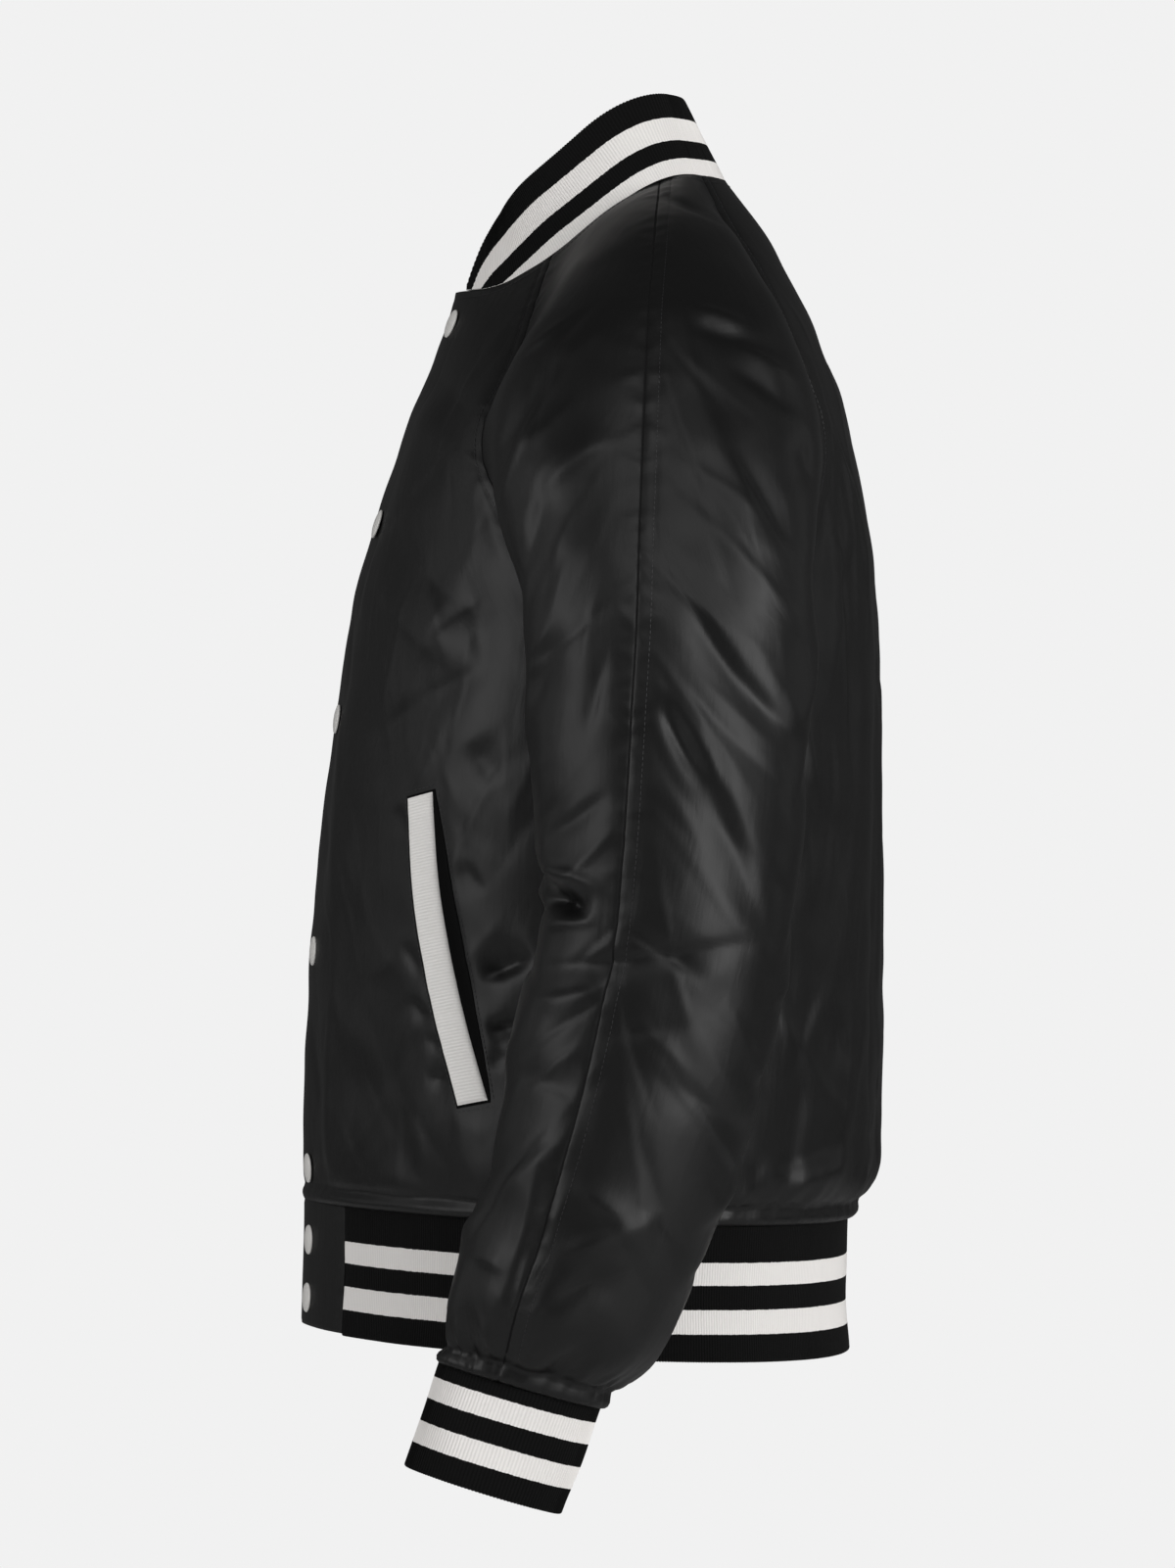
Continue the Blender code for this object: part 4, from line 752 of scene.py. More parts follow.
# %% Creases of the body: left flank from the side (y, z), then front and back (x, z)
CHEST_CREASES = [
    (-0.0449, -0.0522, -0.0985, -0.1420, 0.003, 0.0110, 0.0013),
    (-0.0596, -0.0793, -0.1059, -0.1600, 0.002, 0.0090, 0.0011),
    (-0.0522, -0.0624, -0.1019, -0.1510, 0.002, 0.0080, -0.0011),
    (-0.0800, -0.1365, -0.0621, -0.1971, 0.003, 0.0100, 0.0020),
    (-0.1063, -0.2038, -0.0935, -0.2524, 0.000, 0.0100, 0.0020),
    (-0.0804, -0.2120, -0.0702, -0.2630, 0.000, 0.0130, -0.0028),
    (-0.1173, -0.1772, -0.1263, -0.2236, 0.000, 0.0130, -0.0012),
    (-0.0776, -0.3065, -0.0647, -0.3266, 0.000, 0.0120, -0.0024),
    (-0.1191, -0.3410, -0.1166, -0.3564, 0.000, 0.0050, -0.0016),
    (-0.1166, -0.4204, -0.1063, -0.4383, 0.000, 0.0060, -0.0016),
    (-0.1125, -0.4508, -0.1036, -0.4636, 0.000, 0.0050, -0.0018),
    (-0.1021, -0.4722, -0.0970, -0.4811, 0.000, 0.0050, -0.0014),
    (-0.1033, -0.4951, -0.0919, -0.4964, 0.000, 0.0050, -0.0016),
    (-0.0698, -0.4370, -0.0456, -0.4269, 0.000, 0.0085, -0.0070),
    (-0.0673, -0.4674, -0.0481, -0.4639, 0.000, 0.0075, -0.0055),
    (-0.0673, -0.4877, -0.0572, -0.4826, 0.000, 0.0070, -0.0020),
    (-0.0825, -0.3738, -0.0723, -0.3890, 0.000, 0.0070, -0.0014),
    (-0.1611, -0.4494, -0.1392, -0.5009, 0.003, 0.0120, 0.0012),
    (-0.1125, -0.5223, -0.1061, -0.5504, 0.000, 0.0100, 0.0016),
    (-0.1502, -0.4848, -0.1322, -0.5361, 0.000, 0.0130, -0.0012),
    (-0.1250, -0.2600, -0.1100, -0.3300, 0.004, 0.0140, 0.0012),
]
FLANK_CREASES = [
    (0.1372, -0.1881, 0.1218, -0.2805, 0.003, 0.0080, 0.0022),
    (0.1466, -0.1852, 0.1363, -0.2289, 0.000, 0.0070, -0.0022),
    (0.1263, -0.1785, 0.1238, -0.2245, 0.000, 0.0080, -0.0025),
    (0.1395, -0.3820, 0.1087, -0.4946, 0.004, 0.0100, 0.0022),
    (0.1036, -0.5638, 0.1369, -0.5433, 0.000, 0.0090, 0.0028),
    (0.1010, -0.5484, 0.1318, -0.5356, 0.000, 0.0080, -0.0020),
    (0.1534, -0.5241, 0.1508, -0.5628, 0.000, 0.0070, -0.0020),
    (0.1308, -0.4591, 0.1372, -0.4899, 0.000, 0.0100, -0.0016),
    (0.1238, -0.1439, 0.1289, -0.1855, 0.000, 0.0060, -0.0020),
    (0.1459, -0.2086, 0.1380, -0.3413, 0.002, 0.0080, -0.0018),
    (0.1067, -0.4953, 0.1162, -0.4511, 0.000, 0.0080, -0.0016),
    (0.0824, -0.5621, 0.0891, -0.5403, 0.000, 0.0060, -0.0020),
]
FRONT_CREASES = [
    (0.030, -0.095, 0.140, -0.130, 0.012, 0.0140, -0.0022),
    (0.050, -0.120, 0.150, -0.165, 0.012, 0.0120, 0.0016),
    (0.060, -0.180, 0.170, -0.235, 0.010, 0.0140, -0.0024),
    (0.080, -0.215, 0.165, -0.262, 0.008, 0.0110, 0.0018),
    (0.120, -0.300, 0.185, -0.262, 0.000, 0.0130, -0.0026),
    (0.070, -0.560, 0.085, -0.430, 0.004, 0.0150, 0.0022),
    (0.100, -0.565, 0.108, -0.480, 0.002, 0.0100, -0.0016),
    (0.150, -0.565, 0.135, -0.470, 0.003, 0.0130, -0.0022),
    (0.050, -0.300, 0.075, -0.410, 0.004, 0.0160, 0.0014),
    (0.020, -0.230, 0.050, -0.275, 0.000, 0.0100, -0.0012),
    (0.022, -0.345, 0.055, -0.375, 0.000, 0.0100, -0.0012),
    (0.024, -0.470, 0.060, -0.520, 0.002, 0.0110, -0.0014),
]
BACK_CREASES = [
    (0.150, -0.130, 0.118, -0.330, -0.010, 0.0130, -0.0032),
    (0.165, -0.200, 0.150, -0.400, 0.006, 0.0130, 0.0028),
    (-0.148, -0.140, -0.122, -0.310, 0.010, 0.0130, -0.0032),
    (-0.168, -0.210, -0.148, -0.380, -0.006, 0.0130, 0.0028),
    (0.060, -0.250, 0.075, -0.500, 0.006, 0.0170, -0.0022),
    (0.040, -0.280, 0.050, -0.450, 0.006, 0.0130, 0.0016),
    (-0.040, -0.300, -0.062, -0.540, -0.006, 0.0170, -0.0022),
    (-0.020, -0.330, -0.036, -0.470, -0.004, 0.0120, 0.0014),
    (0.110, -0.440, 0.125, -0.580, 0.000, 0.0130, 0.0024),
    (-0.100, -0.470, -0.112, -0.580, 0.000, 0.0130, 0.0024),
    (0.125, -0.120, 0.085, -0.240, -0.006, 0.0110, 0.0018),
    (-0.120, -0.125, -0.090, -0.230, 0.006, 0.0110, 0.0018),
    (0.000, -0.520, 0.006, -0.585, 0.000, 0.0110, -0.0018),
    (0.150, -0.480, 0.158, -0.585, 0.000, 0.0110, -0.0022),
    (-0.150, -0.440, -0.160, -0.570, 0.000, 0.0120, -0.0022),
    (-0.070, -0.080, 0.070, -0.086, 0.010, 0.0150, -0.0014),
]
table_sizes = [len(table) for table in (ARM_CREASES, SHOULDER_CREASES, CHEST_CREASES)]
print("creases placed by hand on the side that shows:", sum(table_sizes) + len(FLANK_CREASES))

# %% [markdown]
# ## Seam puckers, gathers and the rolled edge
# Thread shrinks a little more than satin, so the cloth ripples beside every seam. A ribbed
# band is shorter than the satin it is sewn to: above it the satin is gathered and bulges over
# in a soft roll. Each of these follows a distance: along the seam, and away from it.

# %% Puckers, gathers and roll
PUCKER_SPACING, PUCKER_DEPTH, PUCKER_REACH = 0.0105, 0.00055, 0.0085
SEAM_DIP, SEAM_DIP_WIDTH = 0.0007, 0.0011
STITCH_DIP, STITCH_DIP_WIDTH = 0.0003, 0.0013
PUCKER_APART, PUCKER_HEIGHTS, PUCKER_WIDTHS = (0.55, 1.5), (0.25, 1.0), (0.22, 0.40)
PUCKER_REACHES, PUCKER_LEANS, PUCKER_SINK = (0.6, 1.5), (-0.6, 0.6), 0.35
PUCKER_NEAR, PUCKER_FAR = 0.03, 2.4
ROLL_POWER, ROLL_CREASE_LEVEL, ROLL_CREASE_WIDTH = 0.8, 1.1, 0.35
CRIMP_STRETCHES, UNEVEN_WAVES = (0.8, 1.0, 1.37), 14


def puckers(seed, run, gap, spacing, depth, reach):
    """Short ripples across a seam: run is the distance along it, gap the distance from it."""
    chance = np.random.default_rng(seed)
    total = np.zeros(gap.shape)
    place = 0.0
    while place < run.max():
        place += spacing * chance.uniform(*PUCKER_APART)
        high, wide = chance.uniform(*PUCKER_HEIGHTS), spacing * chance.uniform(*PUCKER_WIDTHS)
        far, lean = reach * chance.uniform(*PUCKER_REACHES), chance.uniform(*PUCKER_LEANS)
        beside = np.abs(run - place) < PUCKER_NEAR
        beside = beside if run.shape == gap.shape else beside[:, None]
        near = (gap < PUCKER_FAR * far) & beside
        offset = np.broadcast_to(run if run.ndim == 2 else run[:, None], gap.shape)[near] - place
        away = gap[near]
        bump = np.exp(-(((offset - lean * away) / wide) ** 2)) - PUCKER_SINK
        total[near] += depth * high * bump * np.exp(-((away / far) ** 2))
    return total


def stitch_dip(gap, distance):
    """The furrow that a row of stitches pulls into the cloth, at a distance from an edge."""
    return STITCH_DIP * np.exp(-(((gap - distance) / STITCH_DIP_WIDTH) ** 2))


def sewn_edge(seed, run, gap, stitched=None, strength=1.0):
    """The cloth beside a seam: puckers, the dip of the seam and of a row of stitches."""
    out = puckers(seed, run, gap, PUCKER_SPACING, PUCKER_DEPTH * strength, PUCKER_REACH)
    out = out - SEAM_DIP * np.exp(-gap / SEAM_DIP_WIDTH)
    if stitched:
        out = out - stitch_dip(gap, stitched)
    return out


def rolled_edge(height, crimp):
    """Section of the satin's roll above a rib: a crease, then a full roll, crimped or plain."""
    level = height / ROLL_HEIGHT
    roll = ROLL_OUT * np.sin(np.pi * np.clip(level, 0, 1)) ** ROLL_POWER
    crease = np.exp(-(((level - ROLL_CREASE_LEVEL) / ROLL_CREASE_WIDTH) ** 2))
    return roll * (1 + crimp) - ROLL_CREASE * crease


def broad_gathers(height, turn, waves, depth, reach):
    """Soft uneven waves that a gathering seam throws into the cloth above it."""
    wave = np.sin(waves * turn) + 0.5 * np.sin((waves // 2 + 2) * turn + 1.0)
    return depth * wave * ease(height / (0.35 * reach)) * np.exp(-((height / reach) ** 2))


def crimps(seed, run, pitch):
    """Close uneven waves along a roll, between -1 and 1."""
    chance = np.random.default_rng(seed)
    total = np.zeros(run.shape)
    for stretch in CRIMP_STRETCHES:
        total += np.sin(2 * math.pi * run / (pitch * stretch) + chance.uniform(0, 6.28))
    return total / len(CRIMP_STRETCHES)


def uneven(points, seed, longest, shortest):
    """A soft lumpy field, about -1 to 1, the same on both sides of a seam."""
    chance = np.random.default_rng(seed)
    total = np.zeros(points.shape[:-1])
    for _ in range(UNEVEN_WAVES):
        way = unit(chance.normal(size=3))
        length, start = chance.uniform(shortest, longest), chance.uniform(0, 6.28)
        total += np.sin(points @ way * 2 * math.pi / length + start)
    return total / UNEVEN_WAVES**0.5


# %% [markdown]
# ## Distances on a panel
# Puckers and stitches need to know how far each point lies from its panel's edges. The
# distance is measured along the rows for the two long edges, and down the columns for the
# neckline.

# %% Distances from the edges
def gaps_from(grid, side):
    """Distance of every point from the first or last column, along its own row."""
    if side == LAST:
        return gaps_from(grid[:, ::-1], FIRST)[:, ::-1]
    steps = np.linalg.norm(np.diff(grid, axis=1), axis=-1)
    return np.concatenate([np.zeros((len(grid), 1)), np.cumsum(steps, axis=1)], axis=1)


def gaps_from_top(grid):
    """Distance of every point from the first row, down its own column."""
    return gaps_from(grid.swapaxes(0, 1), FIRST).T


def along_rows(grid):
    """Distance of every point along its row, counted from the row's middle."""
    gaps = gaps_from(grid, FIRST)
    return gaps - gaps[:, -1:] / 2


# %% [markdown]
# ## Relief of the body
# The fronts and the back take their creases from the views that face them, weighted by how
# squarely the cloth faces that view. The left front also lies over the right one, so its free
# edge stands out by the lap. Both fronts lie calm and flat under their pocket welts.

# %% Body relief
LUMP, LUMP_LONGEST, LUMP_SHORTEST = 0.0006, 0.120, 0.045
RIPPLE, RIPPLE_LONGEST, RIPPLE_SHORTEST = 0.00010, 0.034, 0.015
RAGLAN_STITCH, SEAM_CALM, RAGLAN_FADE = 0.0058, 0.012, 0.022
NECK_STITCH, EDGE_STITCH = 0.0042, 0.0065
EDGE_DROP, FRONT_DROP_WIDTH, TAB_DROP_WIDTH = 0.0007, 0.0008, 0.0009
CALM_ABOVE_RIB, CALM_RISE = 0.004, 0.03
SIDE_FACING, FRONT_FACING, LEAST_GATHER = 1.8, 1.6, 0.15
YOKE_FADE_LEVEL, YOKE_FADE, SEAM_SWITCH_LEVEL, SEAM_SWITCH = 9.3, 0.6, 9.1, 0.2
LAP_TURN, LAP_TURN_SPAN, GATHER_TURN, GATHER_TURN_SPAN = 0.15, 0.3, 1.1, 0.9
POCKET_CALM, POCKET_ENDS, POCKET_CALMED = 0.015, 0.10, 0.85
HOLLOW_DEPTH, HOLLOW_FAR, HOLLOW_WIDTH = 0.0016, 0.0155, 0.005
# Waves: how many, their depth and reach. Fine gathers: their spacing, depth and reach.
HEM_GATHERS = SimpleNamespace(
    crimp=0.20, pitch=0.0066, waves=(17, 0.0016, 0.060), fine=(0.013, 0.0013, 0.020)
)
CUFF_GATHERS = SimpleNamespace(
    crimp=0.14, pitch=0.0037, waves=(9, 0.0018, 0.050), fine=(0.0115, 0.0026, 0.016)
)


def lap_offset(arcs):
    """How far the left front stands out over the right one."""
    share = (LAP_END_ARC - arcs) / (LAP_END_ARC - LEFT_EDGE_ARC)
    return LAP_LIFT * np.clip(share, 0.0, 1.2) ** 1.4


def underlap_offset(arcs):
    """How far the right front sinks under the left one, arcs taken on its own side."""
    return -UNDERLAP_DROP * ease((UNDERLAP_END_ARC - arcs) / (UNDERLAP_END_ARC + SNAP_ARC))


def welt_middle(share):
    """Arc of the welt's middle line at a share of its length: it bows towards the front."""
    return WELT_TOP_ARC + (WELT_FOOT_ARC - WELT_TOP_ARC) * share - WELT_BOW * np.sin(
        math.pi * share
    )


def welt_share(levels):
    """Share of the welt's length at each body level, below 0 above it and over 1 below it."""
    z = YOKE.at(9).front_z - BODY_LENGTH * (levels - 9)
    return (z - WELT_TOP_Z) / (WELT_FOOT_Z - WELT_TOP_Z)


def pocket_ground(out, arcs):
    """Calms the cloth under a welt and opens the pocket's mouth beside it."""
    share = welt_share(body_levels)[:, None]
    within = ease((share + POCKET_ENDS) / POCKET_ENDS)
    within = within * ease((1 + POCKET_ENDS - share) / POCKET_ENDS)
    beside = arcs - welt_middle(np.clip(share, 0, 1))
    calm = within * np.exp(-((beside / POCKET_CALM) ** 4))
    belly = np.sin(math.pi * np.clip(share, 0, 1))
    mouth = belly * np.exp(-(((beside - HOLLOW_FAR) / HOLLOW_WIDTH) ** 2))
    return out * (1 - POCKET_CALMED * calm) - HOLLOW_DEPTH * mouth


def unevenness(grid):
    """The broad lumps and the fine ripples of a panel, shared with its neighbours."""
    lumps = LUMP * uneven(grid, 5, LUMP_LONGEST, LUMP_SHORTEST)
    return lumps + RIPPLE * uneven(grid, 6, RIPPLE_LONGEST, RIPPLE_SHORTEST)


def calmed(out, yoke, raglan, heights):
    """Creases that die away towards the raglan seam and towards the rib below."""
    out = out * (1 - yoke * (1 - ease(raglan / RAGLAN_FADE)))
    return out * ease((heights - CALM_ABOVE_RIB) / CALM_RISE)


def gathered_on_rib(grid, heights, turn, free, seed, how, apart=1.0, gathered=1.0):
    """The roll, the broad waves and the fine gathers in the cloth above a rib."""
    run = along_rows(grid)
    crimp = how.crimp * crimps(seed, run, how.pitch) * gathered * free
    out = rolled_edge(heights, crimp) * (ROLL_AT_CLOSURE + (1 - ROLL_AT_CLOSURE) * apart)
    out = out + apart * broad_gathers(heights, turn, *how.waves)
    above = np.broadcast_to(np.maximum(heights - ROLL_HEIGHT, 0), grid.shape[:2])
    fine = puckers(seed + 1, run - run.min(), above, *how.fine)
    shown = LEAST_GATHER + (1 - LEAST_GATHER) * gathered
    return out + fine * shown * ease(heights / ROLL_HEIGHT) * free


def body_relief(name, side_folds, view_folds, seed):
    """How far each point of a body panel stands out from its plain form."""
    grid, lean = bare[name], normals[name]
    side = -1 if name.endswith("right") else 1
    heights = np.maximum(10 - body_levels, 0)[:, None] * BODY_LENGTH
    turn = np.arctan2(grid[..., 0], -grid[..., 1])
    square = ease(np.abs(lean[..., 1]) * FRONT_FACING)
    across = grid[..., 0] * (side if name != "back" else 1)
    out = creases(view_folds, across, grid[..., 2], square)
    for flank, folds in side_folds:
        facing = ease(flank * lean[..., 0] * SIDE_FACING)
        out += creases(folds, grid[..., 1], grid[..., 2], facing)
    nearest = np.minimum(gaps_from(grid, FIRST), gaps_from(grid, LAST))
    raglan = nearest if name == "back" else gaps_from(grid, LAST if side > 0 else FIRST)
    yoke = ease((YOKE_FADE_LEVEL - body_levels) / YOKE_FADE)[:, None]
    out = calmed(out + unevenness(grid), yoke, raglan, heights)
    apart = ease((np.abs(turn) - LAP_TURN) / LAP_TURN_SPAN)
    gathered = ease((np.abs(turn) - GATHER_TURN) / GATHER_TURN_SPAN)
    free = ease(nearest / SEAM_CALM)
    out += gathered_on_rib(grid, heights, turn, free, seed, HEM_GATHERS, apart, gathered)
    return out - stitch_dip(gaps_from_top(grid), NECK_STITCH)


def beside_seams(name, side, seed, stitched):
    """Puckers and dips along one long edge of a body panel."""
    grid = bare[name]
    run = arcs_of(grid[:, side])
    gap = gaps_from(grid, side)
    above = ease((SEAM_SWITCH_LEVEL - body_levels) / SEAM_SWITCH)[:, None]
    return sewn_edge(seed, run, gap, stitched) * above + sewn_edge(seed, run, gap) * (1 - above)


# Columns: table, seed, count, span across, span in height, lean, span of length, depth.
for table, *small in (
    (CHEST_CREASES, 62, 110, (-0.165, -0.02), (-0.58, -0.05), -24, (0.03, 0.09), 0.0008),
    (FRONT_CREASES, 63, 100, (0.02, 0.19), (-0.58, -0.06), 18, (0.03, 0.09), 0.0005),
    (BACK_CREASES, 64, 200, (-0.2, 0.2), (-0.58, -0.02), 0, (0.04, 0.12), 0.0008),
    (FLANK_CREASES, 65, 70, (0.03, 0.155), (-0.58, -0.05), 8, (0.04, 0.11), 0.0009),
):
    table += small_creases(*small)
relief = {}
relief["front_left"] = body_relief("front_left", [(1, CHEST_CREASES)], FRONT_CREASES, 21)
relief["front_right"] = body_relief(
    "front_right", [(-1, altered(CHEST_CREASES, 31))], altered(FRONT_CREASES, 32), 23
)
relief["back"] = body_relief(
    "back", [(1, FLANK_CREASES), (-1, altered(FLANK_CREASES, 33))], BACK_CREASES, 25
)
right_own_arcs = right_arcs[:, ::-1]
relief["front_left"] = pocket_ground(relief["front_left"], left_arcs)
relief["front_right"] = pocket_ground(relief["front_right"], right_own_arcs)
for name, side, seed in (
    ("front_left", LAST, 41), ("front_right", FIRST, 42), ("back", FIRST, 43), ("back", LAST, 44)
):
    relief[name] += beside_seams(name, side, seed, RAGLAN_STITCH)
edge_gap = gaps_from(bare["front_left"], FIRST)
relief["front_left"] += lap_offset(left_arcs) - EDGE_DROP * np.exp(-edge_gap / FRONT_DROP_WIDTH)
relief["front_left"] -= stitch_dip(edge_gap, EDGE_STITCH)
relief["front_right"] += underlap_offset(right_own_arcs)
for name in ("front_left", "front_right", "back"):
    print(name, "relief, mm:", np.round([relief[name].min() * 1e3, relief[name].max() * 1e3], 1))

# %% [markdown]
# ## Relief of the sleeves
# The right sleeve gets the same kinds of crease, but moved, stretched and softened, because
# no two sleeves fold alike. The centre seam is topstitched eight millimetres behind it, and
# the cloth between the seam and the stitches is puckered most.

# %% Sleeve relief
CENTRE_STITCH, CENTRE_PUCKER, ARMPIT_CALM = 0.0080, 1.5, 0.05
SHOULDER_FACING, SHOULDER_RISE, ARM_FACING = 2.4, 0.4, 1.5
RAGLAN_SEEDS = {
    "sleeve_left_front": 41, "sleeve_right_front": 42,
    "sleeve_left_back": 43, "sleeve_right_back": 44,
}
SLEEVE_SMALL = small_creases(61, 110, (0.00, 0.12), (-0.64, -0.04), 33, (0.04, 0.12), 0.0008)
SLEEVE_SMALL += small_creases(66, 90, (-0.08, 0.01), (-0.64, -0.04), -33, (0.03, 0.09), 0.0013)


def arm_heights(grids):
    """Distance of each sleeve row's centre from the cuff seam, along the arm."""
    centres = sum(grid.mean(axis=1) for grid in grids) / len(grids)
    steps = np.linalg.norm(np.diff(centres, axis=0), axis=1)
    return centres, np.concatenate([np.cumsum(steps[::-1])[::-1], [0.0]])


def sleeve_relief(side_name, seed, arm, shoulder, front, rear, small):
    """Relief of both halves of a sleeve."""
    side = 1 if side_name == "left" else -1
    names = [f"sleeve_{side_name}_front", f"sleeve_{side_name}_back"]
    centres, heights = arm_heights([bare[name] for name in names])
    heights = heights[:, None]
    for name in names:
        grid, lean = bare[name], normals[name]
        away = grid - centres[:, None]
        turn = np.arctan2(away[..., 1], side * away[..., 0])
        y, z = grid[..., 1], grid[..., 2]
        outward = ease(side * lean[..., 0] * SIDE_FACING)
        upward = ease(side * lean[..., 0] * SHOULDER_FACING + SHOULDER_RISE * lean[..., 2])
        out = creases(arm, y, z, outward) + creases(small, y, z, outward)
        out += creases(shoulder, y, z, upward)
        out += creases(front, side * grid[..., 0], z, ease(-lean[..., 1] * ARM_FACING))
        out += creases(rear, side * grid[..., 0], z, ease(lean[..., 1] * ARM_FACING))
        outer_side, inner_side = FIRST, LAST
        if name.endswith("front") == (side > 0):
            outer_side, inner_side = LAST, FIRST
        outer_gap, inner_gap = gaps_from(grid, outer_side), gaps_from(grid, inner_side)
        yoke = np.ones(len(grid))
        yoke[YOKE_ROWS:] = ease(1 - arcs_of(centres[YOKE_ROWS:]) / ARMPIT_CALM)
        out = calmed(out + unevenness(grid), yoke[:, None], inner_gap, heights)
        free = ease(np.minimum(inner_gap, outer_gap) / SEAM_CALM)
        out += gathered_on_rib(grid, heights, turn, free, seed, CUFF_GATHERS)
        stitched = CENTRE_STITCH if name.endswith("back") else None
        line = arcs_of(grid[:, outer_side])
        out += sewn_edge(seed + 2, line, outer_gap, stitched, CENTRE_PUCKER)
        line = arcs_of(grid[:, inner_side])
        above = (np.arange(len(grid)) <= YOKE_ROWS)[:, None]
        out += np.where(
            above,
            sewn_edge(RAGLAN_SEEDS[name], line, inner_gap),
            sewn_edge(seed + 3, line - line[YOKE_ROWS], inner_gap),
        )
        relief[name] = out - stitch_dip(gaps_from_top(grid), NECK_STITCH)


sleeve_relief(
    "left", 71, ARM_CREASES, SHOULDER_CREASES, ARM_FRONT_CREASES, ARM_REAR_CREASES, SLEEVE_SMALL
)
sleeve_relief(
    "right",
    81,
    altered(ARM_CREASES, 82),
    altered(SHOULDER_CREASES, 83, 0.006),
    altered(ARM_FRONT_CREASES, 84),
    altered(ARM_REAR_CREASES, 85),
    altered(SLEEVE_SMALL, 86, 0.03),
)
cloth = {name: bare[name] + normals[name] * relief[name][..., None] for name in bare}
print("deepest crease of the left sleeve, mm:", round(relief["sleeve_left_back"].min() * 1e3, 1))

# %% [markdown]
# ## Finishes
# Satin is woven so that long threads float over the face: it is nearly black where it turns
# from the light, and has broad soft highlights, stretched across the threads. Rib knit
# scatters light, so it stays matte. Each finish is one Principled shader whose colour and
# roughness vary a little, with a bump for its threads. Values that don't vary are set on the
# shader's own sockets, so that they survive an export.

# %% Finish tools
SATIN_COLOUR, SATIN_ROUGHNESS = (0.0032, 0.0032, 0.0032), 0.43
BLACK_KNIT_COLOUR, WHITE_KNIT_COLOUR = (0.0038, 0.0038, 0.0038), (0.81, 0.787, 0.765)
# Painted light: the welts are the same off-white knit as the stripes, given a lighter copy of its
# colour because less light reaches them.
WELT_KNIT_PAINTED_LIGHTER_COLOUR = (0.92, 0.90, 0.875)
ENAMEL_COLOUR, THREAD_COLOUR = (0.76, 0.745, 0.72), (0.012, 0.012, 0.013)
POCKET_AND_GAP_SHADE_COLOUR, SEAM_SHADE_COLOUR = (0.0030, 0.0030, 0.0030), (0.0020, 0.0020, 0.0020)


class Finish:
    """A material with its Principled shader and a few short ways to add to it."""

    def __init__(self, name, colour, roughness, **sockets):
        self.material = bpy.data.materials.new(name)
        self.material.use_nodes = True
        self.nodes = self.material.node_tree.nodes
        self.links = self.material.node_tree.links
        self.shader = self.nodes["Principled BSDF"]
        self.shader.inputs["Base Color"].default_value = (*colour, 1)
        self.shader.inputs["Roughness"].default_value = roughness
        for socket, value in sockets.items():
            self.shader.inputs[socket.replace("_", " ")].default_value = value
        self.material.diffuse_color = (*colour, 1)
        self.colour, self.roughness = colour, roughness

    def add(self, kind, settings=(), **inputs):
        """A node of a kind, its settings and its inputs, which may be values or sockets."""
        node = self.nodes.new(kind)
        for key, value in dict(settings).items():
            setattr(node, key, value)
        for key, value in inputs.items():
            socket = node.inputs[int(key[1:]) if key[0] == "i" and key[1:].isdigit() else key]
            if isinstance(value, bpy.types.NodeSocket):
                self.links.new(value, socket)
            else:
                socket.default_value = value
        return node

    def place(self, kind="UV", scale=(1, 1, 1)):
        """Coordinates of a kind, stretched."""
        source = self.add("ShaderNodeTexCoord").outputs[kind]
        return self.add("ShaderNodeMapping", Vector=source, Scale=scale).outputs["Vector"]

    def noise(self, kind="Object", stretch=(1, 1, 1), scale=1.0, **inputs):
        """Cloudy noise over coordinates of a kind, stretched."""
        place = self.place(kind, stretch)
        return self.add("ShaderNodeTexNoise", Vector=place, Scale=scale, **inputs).outputs["Fac"]

    def between(self, factor, low, high):
        """A number that goes from low to high with the factor."""
        node = self.add("ShaderNodeMapRange", Value=factor)
        node.inputs["To Min"].default_value = low
        node.inputs["To Max"].default_value = high
        return node.outputs["Result"]

    def tint(self, factor, dark):
        """Colours the shader from a darkened tone to its own, by a factor."""
        mix = self.add("ShaderNodeMix", {"data_type": "RGBA"}, i0=factor)
        mix.inputs[6].default_value = (*[value * dark for value in self.colour], 1)
        mix.inputs[7].default_value = (*self.colour, 1)
        self.links.new(mix.outputs[2], self.shader.inputs["Base Color"])

    def bump(self, height, depth, under=None):
        """A bump of a real depth in metres."""
        node = self.add("ShaderNodeBump", Strength=1.0, Distance=depth, Height=height)
        if under is not None:
            self.links.new(under, node.inputs["Normal"])
        self.links.new(node.outputs["Normal"], self.shader.inputs["Normal"])
        return node.outputs["Normal"]


# %% Satin, knit, enamel and thread
def satin_finish(name, colour, roughness):
    """Satin weave: floats along the panel's length, slubs, and faint broad ripples."""
    made = Finish(name, colour, roughness, Specular_IOR_Level=0.30)
    slubs = made.noise("UV", (420, 24, 1))
    made.tint(slubs, 0.82)
    made.links.new(made.between(made.noise(scale=26.0), roughness - 0.05, roughness + 0.06),
                   made.shader.inputs["Roughness"])
    fine = made.bump(made.noise("UV", (2600, 240, 1)), 0.00003)
    fine = made.bump(slubs, 0.00006, fine)
    made.bump(made.noise("UV", (62, 23, 1), Detail=2.5, Distortion=0.8), 0.0003, fine)
    return made.material


